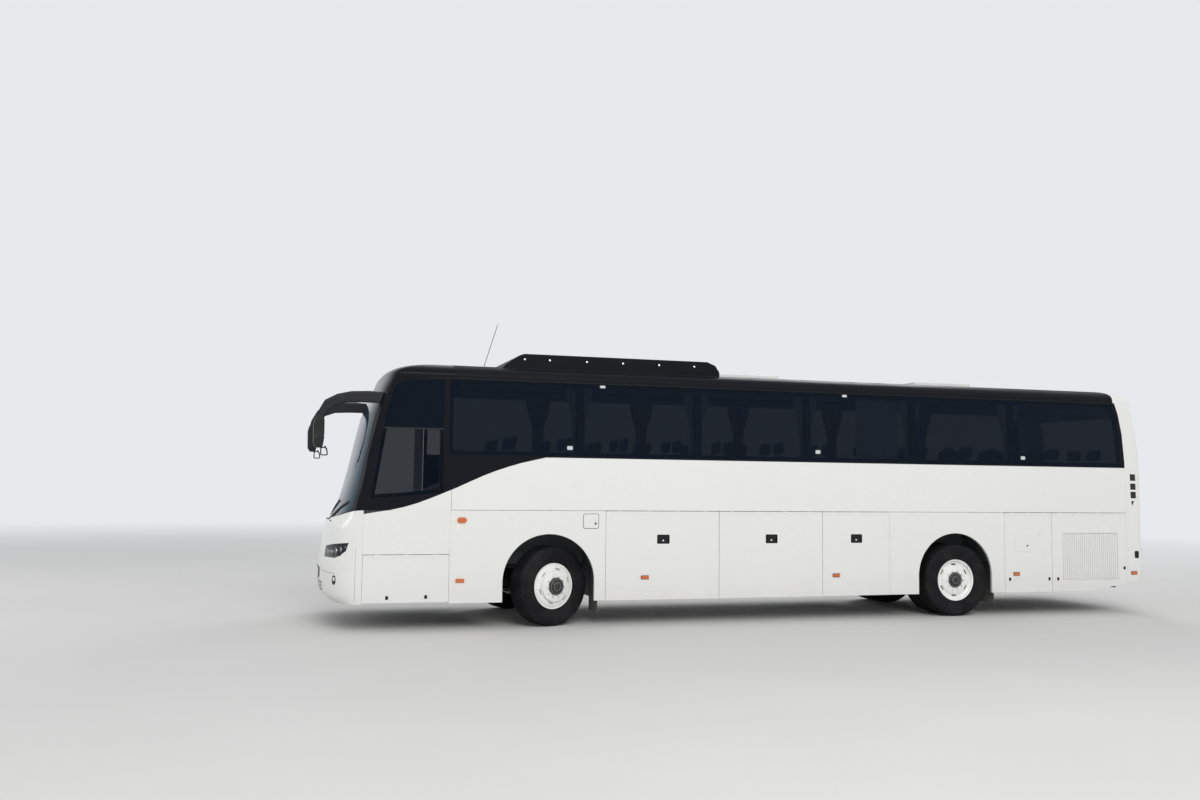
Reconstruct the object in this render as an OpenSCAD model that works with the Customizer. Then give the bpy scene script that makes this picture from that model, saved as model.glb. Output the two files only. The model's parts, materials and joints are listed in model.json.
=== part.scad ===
// Airport passenger bus, millimetres.
// The nose points along -X, the driver's side is -Y and the ground is Z = 0.
// Every module is drawn on one zero line just ahead of the front axle, with both axles at axle_z;
// place() moves the whole bus to its origin and lifts it until its tyres stand on the ground.

/* [Body] */
// Width of the body over its flat sides
body_w = 2550; // [2450:10:2600]
// Distance from the front axle to the rear axle
wheelbase = 6165; // [6000:5:6500]
// Reach of the nose ahead of the front axle
front_reach = 2855; // [2780:5:2920]
// Reach of the rear bumper behind the rear axle
rear_reach = 3440; // [3380:10:3600]
// Height of the lower edge of the side panels
sill_z = 325; // [300:5:345]
// Height of the seam above the luggage doors
hatch_z = 1500; // [1470:5:1530]
// Height of the lower edge of the black window band
belt_z = 2195; // [2150:5:2240]
// Height of the upper edge of the black window band
cant_z = 3200; // [3180:5:3260]
// Rise of the roof above the window band
roof_rise = 225; // [200:5:280]
// How far each side leans in between the seam and the top of the band
side_lean = 40; // [20:2:60]
// Thickness of the side walls and of the roof
wall_t = 40; // [34:1:50]
// Height of the cabin floor
floor_z = 1300; // [1280:5:1330]
// Gap around every door and flap
door_gap = 6; // [5:0.5:9]

/* [Wheels] */
// Outer diameter of a tyre
tyre_d = 1044; // [1000:2:1060]
// Width of a tyre
tyre_w = 290; // [270:2:300]
// Diameter over the rim flanges
rim_d = 597; // [590:1:604]
// Distance from the middle of the bus to the middle of a front tyre
front_track_half = 1045; // [1030:1:1055]
// Distance from the middle of the bus to the middle of an outer rear tyre
outer_track_half = 1085; // [1070:1:1095]
// Distance between the two tyres of a rear pair
twin_pitch = 330; // [320:1:340]
// Distance from a kingpin out to the middle of its tyre
kingpin_offset = 180; // [170:1:190]
// Steering angle in which the front wheels stand, to the left
steer_rest = 20; // [0:1:25]
// Radius of the wheel arches
arch_r = 615; // [600:1:630]
// Height of the middle of the arches' round top
arch_z = 580; // [560:1:600]

/* [Glass] */
// Thickness of the side panes
pane_t = 8; // [6:0.5:10]
// Width of the black seam between two side panes
pane_seam = 12; // [8:1:16]

/* [Hidden] */

$fn = 48;
e = 0.3;                                // gap between seated pieces
pin_play = 0.3;                         // radial play of a pin in its hinge
axle_z = 512;                           // height of both axles in the drawing
side_y = body_w / 2;                    // outer face of the flat sides
front_axle_x = 35;                      // behind the zero line, on which all seams are measured
rear_axle_x = front_axle_x + wheelbase;
front_arch_x = front_axle_x + 10;       // middle of each arch's round top
rear_arch_x = rear_axle_x - 40;
nose_x = front_axle_x - front_reach;
tail_x = rear_axle_x + rear_reach;
roof_z = cant_z + roof_rise;
band_h = cant_z - hatch_z;
lean_deg = atan(side_lean / band_h);
cant_y = side_y - side_lean;
roof_n = 3.2;                           // exponent of the roof's cross-section
roof_steps = 10;
roof_top_z = roof_level(roof_steps);      // the flat strip along the middle of the roof

// Where the cap joins the sides and the roof
nose_cap = 475;                         // length of the nose cap at the sides
roof_start = 1590;                      // from the tip of the nose to the roof's front end
tail_cap = 430;
roof_end = 610;                         // from the rear bumper to the roof's rear end
nose_seam_x = nose_x + nose_cap;
roof_front_x = nose_x + roof_start;
tail_seam_x = tail_x - tail_cap;
roof_rear_x = tail_x - roof_end;
tail_post = 26;                         // post between the last flap and the tail

// Seams of the lower side, rearwards from the front axle
seam_front = -1262;
seam_1 = 812;
seam_2 = rear_axle_x - 3768;
seam_3 = rear_axle_x - 2200;
seam_4 = rear_axle_x - 1130;
seam_5 = rear_axle_x + 800;
seam_6 = rear_axle_x + 1632;

// Places of the window pillars
pillar_x = [seam_front - 33, 445, 2120, rear_axle_x - 2415, rear_axle_x - 720, rear_axle_x + 970];
window_end_x = tail_x - 510;
pane_z0 = belt_z + 22;
pane_z1 = cant_z - 22;

// Rows of the nose's centre line: height, setback from its tip, depth of its rounded corner
NOSE = [[330, 130, 345], [400, 35, 440], [480, 8, 467], [700, 0, 475], [950, 30, 445], [1120, 50, 425],
    [1270, 75, 400], [1340, 115, 360], [1400, 170, 305], [1500, 222, 255], [1775, 310, 215],
    [2190, 410, 190], [2580, 495, 180], [2850, 575, 165], [3090, 680, 150], [3200, 730, 150],
    [3260, 752, 165], [3310, 795, 200], [3360, 920, 260], [3400, 1120, 300], [3430, 1300, 300]];
nose_n = 2.7;
// Rows of the tail's centre line: height, setback from the bumper, depth of its rounded corner
TAIL = [[440, 110, 160], [550, 20, 220], [690, 0, 240], [950, 12, 230], [1000, 45, 200], [1700, 42, 180],
    [2340, 50, 170], [2640, 90, 160], [2940, 150, 140], [3220, 220, 120], [3300, 275, 110],
    [3370, 400, 100], [3430, 560, 90]];
tail_n = 3.4;

// Value of column c of table t at height z, on a smooth curve through its rows
function row_at(t, z, i = 0) = i >= len(t) - 2 || z < t[i + 1][0] ? i : row_at(t, z, i + 1);
function slope(t, i, c) = let (a = max(i - 1, 0), b = min(i + 1, len(t) - 1))
    (t[b][c] - t[a][c]) / (t[b][0] - t[a][0]);
function on_curve(t, z, c) = let (zz = min(max(z, t[0][0]), t[len(t) - 1][0]), i = row_at(t, zz),
    h = t[i + 1][0] - t[i][0], u = (zz - t[i][0]) / h)
    (2 * u * u * u - 3 * u * u + 1) * t[i][c] + (u * u * u - 2 * u * u + u) * h * slope(t, i, c)
    + (3 * u * u - 2 * u * u * u) * t[i + 1][c] + (u * u * u - u * u) * h * slope(t, i + 1, c);

// Half width of the body at height z, its skin moved in by d
function half_at(z, d = 0) = z <= hatch_z ? side_y - d
    : z <= cant_z ? side_y - d - side_lean * (z - hatch_z) / band_h
    : (cant_y - d) * pow(max(0, 1 - pow((z - cant_z) / (roof_rise - d), roof_n)), 1 / roof_n);
// Heights at which the roof is sampled, its skin moved in by d
function roof_level(k, d = 0) = cant_z + (roof_rise - d) * min(sin(90 * k / roof_steps), 0.992);

module place() { translate([-(tail_x + mirror_x) / 2, 0, tyre_d / 2 - axle_z]) children(); }
module mirrored() { children(); mirror([0, 1, 0]) children(); }
// Stands a drawing of x and z up as a plate whose outer face is the left side
module left_plate(t, y0) { translate([0, -y0 + t, 0]) rotate([90, 0, 0]) linear_extrude(t) children(); }
// The same on the upper side, which leans in above the seam; z counts from the seam
module leaning_plate(t, inset = 0) {
    translate([0, -side_y, hatch_z]) rotate([-lean_deg, 0, 0]) translate([0, inset + t, 0])
        rotate([90, 0, 0]) linear_extrude(t) children();
}
module box(x0, x1, y0, y1, z0, z1) { translate([x0, y0, z0]) cube([x1 - x0, y1 - y0, z1 - z0]); }
// A rectangle with round corners
corner_steps = 5;
module rounded(x0, z0, x1, z1, r) {
    polygon([for (q = [0:3], k = [0:corner_steps]) let (a = 90 * (q + k / corner_steps),
        x = q == 0 || q == 3 ? x1 - r : x0 + r, z = q < 2 ? z1 - r : z0 + r) [x + r * cos(a),
            z + r * sin(a)]]);
}

// Nose and tail

// One level of a cap: a rounded plan from the left side over the tip to the right side
cap_steps = 12;
function plan_level(tip, depth, half, n, back, dir, z) = concat(
    [[back, -half, z]],
    [for (k = [-cap_steps:cap_steps]) let (u = sin(90 * k / cap_steps), v = abs(u))
        [tip - dir * depth * (1 - pow(1 - pow(v, n), 1 / n)), half * u, z]],
    [[back, half, z]]);
// A closed body through such levels
module loft(levels) {
    m = len(levels[0]);
    n = len(levels);
    polyhedron(points = [for (l = levels) each l], faces = concat(
        [[for (i = [0:m - 1]) m - 1 - i]],
        [[for (i = [0:m - 1]) (n - 1) * m + i]],
        [for (j = [0:n - 2], i = [0:m - 1]) let (a = j * m + i, b = j * m + (i + 1) % m)
            each [[a, b, b + m], [a, b + m, a + m]]]), convexity = 6);
}
nose_levels = [330, 365, 400, 440, 480, 590, 700, 830, 950, 1120, 1270, 1310, 1340, 1370, 1400, 1445,
    1500, 1640, 1775, 1980, 2190, 2390, 2580, 2720, 2850, 2970, 3090, 3150];
tail_levels = [440, 480, 515, 550, 620, 690, 820, 950, 975, 1000, 1350, 1500, 1700, 2020, 2340, 2490,
    2640, 2790, 2940, 3080];
// The nose and the tail as closed bodies between two heights, their skin moved in by d
function levels_within(levels, d, z0, z1) = let (
    low = max(levels[0], z0) - d,
    high = min(roof_level(roof_steps, d), z1 + d),
    between = concat([for (k = [1:len(levels) - 1]) levels[k]], [for (k = [0:roof_steps]) roof_level(k,
        d)]))
    concat([low], [for (z = between) if (z > low + 4 && z < high - 4) z], [high]);
module nose_body(d, z0 = 0, z1 = 4000) {
    zs = levels_within(nose_levels, d, z0, z1);
    loft([for (z = zs) plan_level(nose_x + d + on_curve(NOSE, z + (z > cant_z ? d / 2 : 0), 1),
        on_curve(NOSE, z, 2) - d / 3, half_at(z, d), nose_n, roof_front_x + 60 + d, -1, z)]);
}
module tail_body(d, z0 = 0, z1 = 4000) {
    zs = levels_within(tail_levels, d, z0, z1);
    loft([for (z = zs) let (l = plan_level(tail_x - d - on_curve(TAIL, z + (z > cant_z ? d / 2 : 0), 1),
        on_curve(TAIL, z, 2) - d / 3, half_at(z, d), tail_n, roof_rear_x - 60 - d, 1, z))
        [for (i = [len(l) - 1:-1:0]) l[i]]]);
}
module nose_skin(t, z0 = 0, z1 = 4000) { difference() { nose_body(0, z0, z1); nose_body(t, z0 - 200,
    z1 + 200); } }
module tail_skin(t, z0 = 0, z1 = 4000) { difference() { tail_body(0, z0, z1); tail_body(t, z0 - 200,
    z1 + 200); } }
// A coat of thickness t that lies on the nose
module nose_coat(t, z0, z1) { difference() { nose_body(-t, z0, z1); nose_body(-e, z0 - 200, z1 + 200); } }
// Where the tail's skin is at height z, y away from the middle
function tail_at(y, z) = tail_x - on_curve(TAIL, z, 1)
    - on_curve(TAIL, z, 2) * (1 - pow(1 - pow(abs(y) / half_at(z), tail_n), 1 / tail_n));
// Cutters drawn in the front view (y, z) and in the side view (x, z)
module front_cut(x0, x1) { translate([x1, 0, 0]) rotate([90, 0, -90]) linear_extrude(x1 - x0) children(); }
module side_cut() { translate([0, 2000, 0]) rotate([90, 0, 0]) linear_extrude(4000) children(); }

bumper_z = 745;
intake_y = 560;
intake_z0 = 440;
intake_z1 = 560;
screen_base = 1375;
screen_rise = 118;
screen_top = 2965;
screen_y = side_y - 110;
pillar_foot_x = nose_seam_x + 17;
pillar_head_x = nose_seam_x + 335;
ahead_x = nose_x - 180;                 // cutters start ahead of the nose
screen_end_x = nose_x + 1220;
lamp_end_x = nose_x + 520;
wide = 2 * body_w;                      // cutters reach past both sides
function base_at(y, d = 0) = screen_base + d + screen_rise * pow(abs(y) / side_y, 2);
module below_screen(d = 0) {
    w = side_y + 5;
    polygon(concat([[-w - 120, 0]], [for (k = [-8:8]) [k / 8 * w, base_at(k / 8 * w, d)]], [[w + 120, 0]]));
}
module screen_outline(d) {
    polygon(concat([for (k = [-8:8]) let (y = k / 8 * (screen_y - d)) [y, base_at(y, 20 + d)]],
        [for (k = [8:-1:-8]) let (y = k / 8 * (screen_y - 60 - d)) [y,
            screen_top - d + 30 * (1 - pow(k / 8, 2))]]));
}
// Side view of the cap behind the windscreen's corner: the pillar's rear edge, then the roof's edge
module cap_side() {
    polygon([[ahead_x, 0], [nose_seam_x, 0], [nose_seam_x, hatch_z + 4], [pillar_foot_x, hatch_z + 40],
        [pillar_head_x, cant_z - 60], [pillar_head_x + 40, cant_z], [roof_front_x, cant_z],
        [roof_front_x, 4000], [ahead_x, 4000]]);
}
module nose_frame() {
    color([0.05, 0.05, 0.06]) intersection() {
        nose_skin(wall_t, screen_base - 105);
        side_cut() cap_side();
        difference() {
            front_cut(ahead_x, 0) difference() { translate([-wide / 2, 0]) square([wide, 4000]);
                below_screen(); }
            front_cut(ahead_x, screen_end_x) screen_outline(0);
        }
    }
}
module windscreen() {
    color([0.25, 0.42, 0.48, 0.5]) intersection() {
        nose_skin(10, screen_base - 105, screen_top + 125);
        front_cut(ahead_x, screen_end_x) screen_outline(e);
    }
}
lamp_z0 = 878;
lamp_z1 = 1090;
lamp_in = side_y - 675;
lamp_out = side_y - 39;
module lamp_outline(d = 0) {
    for (s = [-1, 1]) scale([s, 1]) polygon([[lamp_in + d, lamp_z0 + 8 + d], [lamp_in + d, lamp_z1 - 75 - d],
        [lamp_in + 30 + d, lamp_z1 - 62 - d], [lamp_out - d, lamp_z1 - d], [lamp_out - 21 - d, lamp_z0 + 110],
        [lamp_out - 86, lamp_z0 + 48 + d], [lamp_out - 186, lamp_z0 + 18 + d]]);
}
module front_panel() {
    color("white") difference() {
        intersection() {
            nose_skin(wall_t, bumper_z - 45, screen_base + 265);
            side_cut() cap_side();
            front_cut(ahead_x, 0) intersection() {
                below_screen(-e);
                translate([-wide / 2, bumper_z + e]) square([wide, 3000]);
            }
        }
        front_cut(ahead_x, lamp_end_x) lamp_outline();
    }
}
module front_bumper() {
    color("white") difference() {
        intersection() {
            nose_skin(wall_t, 0, bumper_z + 85);
            side_cut() cap_side();
            box(ahead_x, 0, -wide / 2, wide / 2, 0, bumper_z);
        }
        // Air intake below the number plate, with slats across it
        front_cut(ahead_x, nose_x + 300) difference() {
            rounded(-intake_y, intake_z0, intake_y, intake_z1, 25);
            for (k = [1:2]) translate([-intake_y - 10, intake_z0 + k * (intake_z1 - intake_z0) / 3 - 5])
                square([2 * intake_y + 20, 10]);
            for (s = [-1, 1]) translate([s * intake_y / 3 - 6, intake_z0 - 10]) square([12,
                intake_z1 - intake_z0 + 20]);
        }
    }
}
module headlamps() {
    color([0.1, 0.11, 0.12]) intersection() {
        nose_skin(30, lamp_z0 - 55, lamp_z1 + 70);
        front_cut(ahead_x, lamp_end_x) lamp_outline(e);
    }
}

// Side view of the tail: the band's rear edge slants forward towards the roof
module tail_side(d = 0) {
    polygon([[tail_seam_x + d, 0], [tail_seam_x + d, belt_z + 100], [tail_seam_x - 30 + d, 2720],
        [tail_seam_x - 90 + d, 3030], [tail_seam_x - 150 + d, cant_z], [roof_rear_x, cant_z],
        [roof_rear_x, 4000], [tail_x + 100, 4000], [tail_x + 100, 0]]);
}
tail_bumper_z = 975;
lid_y = side_y - 385;
lid_z0 = 990;
lid_z1 = 1900;
rear_glass_y = side_y - 295;
rear_glass_z0 = 2180;
rear_glass_z1 = 3000;
tail_lamp_y = side_y - 265;
tail_lamp_w = 180;
tail_lamp_z0 = 1010;
tail_lamp_z1 = 1470;
module tail_lamp_outline(d = 0) {
    for (s = [-1, 1]) scale([s, 1]) polygon([[tail_lamp_y + d, tail_lamp_z0 + d], [tail_lamp_y + d,
        tail_lamp_z1 - d],
        [tail_lamp_y + tail_lamp_w - 40 - d, tail_lamp_z1 - d], [tail_lamp_y + tail_lamp_w - d,
            tail_lamp_z1 - 60],
        [tail_lamp_y + tail_lamp_w - d, tail_lamp_z0 + d]]);
}
module glass_outline_rear(d = 0) {
    rounded(-rear_glass_y + d, rear_glass_z0 + d, rear_glass_y - d, rear_glass_z1 - d, 90);
}
module tail_shell() {
    color("white") difference() {
        intersection() {
            tail_skin(wall_t, tail_bumper_z - 25);
            side_cut() tail_side();
            box(0, tail_x + 10, -wide / 2, wide / 2, tail_bumper_z + e, 4000);
        }
        // Dark air outlets in both rear corners
        intersection() {
            difference() { tail_body(-20, vent_z[0] - 200, vent_z[6] + 200); tail_body(vent_in,
                vent_z[0] - 200, vent_z[6] + 200); }
            side_cut() vents();
        }
        front_cut(tail_x - 300, tail_x + 50) {
            translate([-lid_y - door_gap, lid_z0 - door_gap])
                square([2 * (lid_y + door_gap), lid_z1 + lid_gap - lid_z0 + door_gap]);
            tail_lamp_outline();
            glass_outline_rear();
        }
    }
    // Fixed halves of the lid's two hinges, with their pins
    color("white") for (s = [-1, 1]) translate([lid_pivot_x, s * lid_hinge_y, lid_pivot_z]) {
        translate([0, -lid_hinge_w / 2 - 24, 0]) rotate([-90, 0, 0]) cylinder(r = lid_pin_r,
            h = lid_hinge_w + 48);
        for (y = [-lid_hinge_w / 2 - 23, lid_hinge_w / 2 + 3]) translate([0, y, 0]) {
            rotate([-90, 0, 0]) cylinder(r = lid_eye_r, h = 20);
            box(-20, 0, 0, 20, 3, 40);
            box(-20, lid_eye_r, 0, 20, 2, 6);
        }
    }
}
vent_x0 = tail_x - 340;
vent_x1 = tail_x - 232;
vent_in = 14;
vent_z = [1606, 1686, 1729, 1829, 1861, 1956, 2000, 2100];
module vents() {
    polygon([[vent_x0 + 8, vent_z[1]], [vent_x0 + 70, vent_z[1]], [vent_x0 + 28, vent_z[0]]]);
    for (k = [2, 4, 6]) polygon([[vent_x0 + 4, vent_z[k]], [vent_x0, vent_z[k + 1]], [vent_x1 - 4,
        vent_z[k + 1]],
        [vent_x1, vent_z[k]]]);
}
module rear_window() {
    color([0.1, 0.12, 0.14, 0.6]) intersection() { tail_skin(10, rear_glass_z0 - 160,
        rear_glass_z1 + 80); front_cut(tail_x - 500, tail_x + 50) glass_outline_rear(e); }
}
module tail_lamps() {
    color("red") intersection() { tail_skin(30, tail_lamp_z0 - 35, tail_lamp_z1 + 30);
        front_cut(tail_x - 300, tail_x + 50) tail_lamp_outline(e); }
}
module rear_bumper() {
    color("white") intersection() {
        tail_skin(wall_t, 0, tail_bumper_z + 25);
        side_cut() tail_side();
        box(0, tail_x + 10, -wide / 2, wide / 2, 0, tail_bumper_z);
    }
}
lid_gap = 8;
lid_hinge_y = lid_y - 270;
lid_hinge_w = 60;
lid_pin_r = 3;
lid_eye_r = 6;
lid_pivot_z = lid_z1 + lid_gap / 2;
lid_pivot_x = tail_at(lid_hinge_y, lid_pivot_z) + 12;
module engine_lid() {
    color("white") {
        intersection() {
            tail_skin(wall_t, tail_bumper_z, lid_z1 + 120);
            front_cut(tail_x - 300, tail_x + 50) translate([-lid_y, lid_z0]) square([2 * lid_y,
                lid_z1 - lid_z0]);
        }
        for (s = [-1, 1]) translate([lid_pivot_x, s * lid_hinge_y, lid_pivot_z]) difference() {
            union() {
                translate([0, -lid_hinge_w / 2, 0]) rotate([-90, 0, 0]) cylinder(r = lid_eye_r,
                    h = lid_hinge_w);
                box(-20, 0, -lid_hinge_w / 2, lid_hinge_w / 2, -40, -4);
                box(-8, lid_eye_r - 1, -lid_hinge_w / 2, lid_hinge_w / 2, -6, -3);
            }
            translate([0, -lid_hinge_w / 2 - 1, 0]) rotate([-90, 0, 0])
                cylinder(r = lid_pin_r + pin_play, h = lid_hinge_w + 2);
        }
    }
}

// Lower side

module arch_hole(x) {
    translate([x, arch_z]) circle(arch_r, $fn = 96);
    translate([x - arch_r, 0]) square([2 * arch_r, arch_z]);
}
module lower_sides() {
    color("white") {
        for (s = [0, 1]) mirror([0, s, 0]) {
            left_plate(wall_t, side_y) difference() {
                translate([seam_front + e, sill_z]) square([seam_1 - seam_front - 2 * e, hatch_z - sill_z]);
                arch_hole(front_arch_x);
            }
            left_plate(wall_t, side_y) difference() {
                translate([seam_4 + e, sill_z]) square([seam_5 - seam_4 - 2 * e, hatch_z - sill_z]);
                arch_hole(rear_arch_x);
            }
            box(tail_seam_x - tail_post, tail_seam_x - e, -side_y, -side_y + wall_t, 440, hatch_z);
        }
        box(nose_seam_x + e, seam_front - e, -side_y, -side_y + wall_t, flap_z1 + 5, hatch_z);
        box(front_door_x1 + door_gap, seam_front - e, side_y - wall_t, side_y, sill_z, hatch_z);
        box(nose_seam_x + e, front_door_x0 - door_gap, side_y - wall_t, side_y, sill_z, hatch_z);
        box(mid_door_x1 + door_gap, seam_4 - e, side_y - wall_t, side_y, sill_z, hatch_z);
        box(seam_5 + e, seam_6 - e, side_y - wall_t, side_y, sill_z, hatch_z);
    }
}
flap_z1 = 940;

// Upper side: a white waist below the black band, both leaning in

swoosh = [[nose_seam_x, 1448], [-1793, 1554], [-1247, 1763], [-791, 1967], [-402, 2101], [-10, belt_z]];
function swoosh_x(z) = lookup(z, [for (p = swoosh) [p[1], p[0]]]);
swoosh_steps = 14;
white_front_x = nose_seam_x + 395;      // ahead of this the white edge runs on in paint
// The border between white and black, from the nose to where it meets the belt
function swoosh_at(x) = let (t = [for (p = swoosh) [p[0], p[1]]]) on_curve(t, x, 1);
module swoosh_border(d = 0) {
    polygon(concat([[nose_seam_x - 200, hatch_z - 400 - hatch_z], [nose_seam_x - 200,
        swoosh_at(nose_seam_x) - hatch_z - d]],
        [for (k = [0:swoosh_steps]) let (x = nose_seam_x + k / swoosh_steps * (-10 - nose_seam_x))
            [x, swoosh_at(x) - hatch_z - d]],
        [[12000, belt_z - hatch_z - d], [12000, -400]]));
}
module waist_outline() { translate([nose_seam_x + e, 4]) square([tail_seam_x - nose_seam_x - 2 * e,
    belt_z - hatch_z]); }
module waist_panels() {
    color("white") {
        leaning_plate(wall_t) intersection() { waist_outline(); swoosh_border(e);
            translate([white_front_x, 0]) square([20000, 3000]); }
        mirror([0, 1, 0]) leaning_plate(wall_t) difference() {
            intersection() { waist_outline(); swoosh_border(e); translate([front_door_x1 + door_gap, 0])
                square([20000, 3000]); }
            translate([mid_door_x0 - door_gap, -10]) square([mid_door_x1 - mid_door_x0 + 2 * door_gap,
                2000]);
        }
    }
}
// Upper edge of the driver's pane and of the band's front end
module band_outline() {
    difference() {
        polygon([[nose_seam_x + e, 4], [pillar_foot_x + e, 40], [pillar_head_x + e, band_h - 60],
            [pillar_head_x + 40, band_h - e], [tail_seam_x - 150 - e, band_h - e], [tail_seam_x - 90 - e,
                3030 - hatch_z],
            [tail_seam_x - 30 - e, 2720 - hatch_z], [tail_seam_x - e, belt_z + 100 - hatch_z],
                [tail_seam_x - e, 4]]);
        swoosh_border();
    }
}
module driver_pane(d = 0) {
    translate([nose_seam_x, 0]) polygon([[83 + d, 150 + d], [89 + d, 230], [227 + d, 1080], [283 + d, 1360],
        [355 + d * 0.7, 1560 - d * 0.7], [445, 1632 - d], [545, 1660 - d], [985 - d, 1672 - d], [985 - d,
            225 + d],
        [545, 182 + d]]);
}
module side_pane(i, d = 0) {
    x0 = pillar_x[i] + pane_seam / 2 + d;
    z0 = pane_z0 - hatch_z + d;
    z1 = pane_z1 - hatch_z - d;
    if (i < len(pillar_x) - 1) rounded(x0, z0, pillar_x[i + 1] - pane_seam / 2 - d, z1, 12);
    else polygon([[x0, z0], [x0, z1], [window_end_x - 130 - d, z1], [window_end_x - 50 - d, z1 - 230],
        [window_end_x - 12 - d, z1 - 520], [window_end_x - d, z0 + 100], [window_end_x - d, z0]]);
}
rim_w = 46;                            // width of the frame behind the edge of each pane
module band_plate(right) {
    difference() {
        leaning_plate(wall_t) band_outline();
        leaning_plate(pane_t + e + 10, -10) {
            if (!right) driver_pane(-e);
            for (i = [0:len(pillar_x) - 1]) side_pane(i, -e);
        }
        leaning_plate(wall_t * 2, -10) {
            if (!right) driver_pane(rim_w);
            for (i = [0:len(pillar_x) - 1]) side_pane(i, rim_w);
        }
    }
}
module window_bands() {
    color([0.04, 0.04, 0.05]) {
        band_plate(false);
        mirror([0, 1, 0]) difference() {
            band_plate(true);
            leaning_plate(wall_t * 3, -20) front_door_outline(door_gap);
        }
    }
}
module side_glass() {
    color([0.12, 0.16, 0.2, 0.6]) {
        leaning_plate(pane_t) { driver_pane(); for (i = [0:len(pillar_x) - 1]) side_pane(i); }
        mirror([0, 1, 0]) leaning_plate(pane_t) for (i = [0:len(pillar_x) - 1]) side_pane(i);
    }
}
module roof_section(d) {
    polygon(concat([for (k = [roof_steps:-1:0]) [-half_at(roof_level(k, d), d), roof_level(k, d)]],
        [for (k = [0:roof_steps]) [half_at(roof_level(k, d), d), roof_level(k, d)]]));
}
module roof_shell() {
    color([0.07, 0.07, 0.08]) translate([roof_front_x + e, 0, 0]) rotate([90, 0, 90])
        linear_extrude(roof_rear_x - roof_front_x - 2 * e) difference() { roof_section(0);
            roof_section(wall_t); }
}

// Doors and flaps of the lower side

hinge_y = side_y - 5;
hinge_z = hatch_z - 8;
hinge_r = 4;
knuckle_r = 8;
hatch_t = 32;
knuckle_len = 60;
lip_out = 3.4;                          // the lip over the hinge gap stands out this far
lip_t = 2.2;
lip_top = hinge_z + 6;
lip_base = hinge_z - 26;
pull_w = 166;
pull_z0 = 1070;
pull_z1 = 1180;
pull_in = 20;
// Places of n hinge knuckles on a door from x0 to x1
function knuckle_places(x0, x1, n) = [for (k = [0:n - 1]) x0 + (x1 - x0) * (k + 0.5) / n];
module side_door(x0, x1, z0, n, pull = false) {
    difference() {
        union() {
            box(x0 + door_gap / 2, x1 - door_gap / 2, -side_y, -side_y + hatch_t, z0, hinge_z - 10);
            box(x0 + door_gap / 2, x1 - door_gap / 2, -side_y - lip_out, -side_y - lip_out + lip_t,
                lip_base, lip_top);
            box(x0 + door_gap / 2, x1 - door_gap / 2, -side_y - lip_out, -side_y + 2, lip_base,
                hinge_z - 12);
            for (x = knuckle_places(x0, x1, n)) {
                translate([x - knuckle_len / 2, -hinge_y, hinge_z]) rotate([0, 90, 0])
                    cylinder(r = knuckle_r, h = knuckle_len);
                box(x - knuckle_len / 2, x + knuckle_len / 2, -hinge_y - 5, -hinge_y + 7, hinge_z - 20,
                    hinge_z);
            }
        }
        for (x = knuckle_places(x0, x1, n)) translate([x - knuckle_len, -hinge_y, hinge_z]) rotate([0,
            90, 0])
            cylinder(r = hinge_r + pin_play, h = 2 * knuckle_len);
        if (pull) box((x0 + x1 - pull_w) / 2, (x0 + x1 + pull_w) / 2, -side_y - 10, -side_y + pull_in,
            pull_z0, pull_z1);
    }
}
module hinge_rail(x0, x1, n) {
    box(x0 + 4, x1 - 4, -side_y + 16, -side_y + wall_t - e, hinge_z - 5, hatch_z + 3 - e);
    for (x = knuckle_places(x0, x1, n)) {
        translate([x - knuckle_len / 2 - 20, -hinge_y, hinge_z]) rotate([0, 90, 0]) cylinder(r = hinge_r,
            h = knuckle_len + 40);
        for (s = [-1, 1]) box(x + s * (knuckle_len / 2 + 12) - 8, x + s * (knuckle_len / 2 + 12) + 8,
            -hinge_y - 3, -side_y + 17, hinge_z - 5, hinge_z + 5);
    }
}
// Doors of each side: front edge, rear edge, number of hinges
LEFT_DOORS = [[seam_1, seam_2, 4], [seam_2, seam_3, 4], [seam_3, seam_4, 3], [seam_5, seam_6, 3],
    [seam_6, tail_seam_x - tail_post, 4]];
RIGHT_DOORS = [[seam_1, seam_2, 4], [seam_2, seam_3, 4], [seam_6, tail_seam_x - tail_post, 4]];
flap_x = [nose_seam_x, seam_front];
module hatch_hinges() {
    color([0.1, 0.1, 0.1]) {
        for (d = LEFT_DOORS) hinge_rail(d[0], d[1], d[2]);
        for (d = RIGHT_DOORS) mirror([0, 1, 0]) hinge_rail(d[0], d[1], d[2]);
        // Rail of the service flap in the nose
        translate([0, 0, flap_drop]) hinge_rail(flap_x[0], flap_x[1], 3);
        // Brackets that carry the shafts of the door arms
        mirror([0, 1, 0]) arm_bracket(nose_seam_x + 5, front_door_x0 - door_gap - e, front_arm_x);
        mirror([0, 1, 0]) arm_bracket(seam_4 - 5, mid_door_x1 + door_gap + e, mid_arm_x);
    }
}
// From the post beside a door, x0 to x1, in to the arm's shaft at x
module arm_bracket(x0, x1, x) {
    y = -side_y + arm_pivot_in;
    for (z = [arm_z - 85, arm_z + 70]) difference() {
        union() {
            box(min(x0, x1), max(x0, x1), -side_y + wall_t + e, y + 30, z, z + 15);
            box(min(x0, x), max(x0, x), -side_y + wall_t + 8, y + 30, z, z + 15);
            translate([x, y, z]) cylinder(r = 30, h = 15);
        }
        translate([x, y, z - 1]) cylinder(r = arm_shaft_r + pin_play, h = 17);
    }
}
flap_drop = flap_z1 + 2 - hatch_z;      // from the doors' hinge line down to the service flap's
module service_flap() {
    color("white") translate([0, 0, flap_drop]) side_door(flap_x[0], flap_x[1], sill_z + 20 - flap_drop, 3);
}
module luggage_door_1() { color("white") side_door(seam_1, seam_2, sill_z, 4, true); }
module luggage_door_2() { color("white") side_door(seam_2, seam_3, sill_z, 4, true); }
module luggage_door_3() { color("white") side_door(seam_3, seam_4, sill_z, 3, true); }
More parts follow.
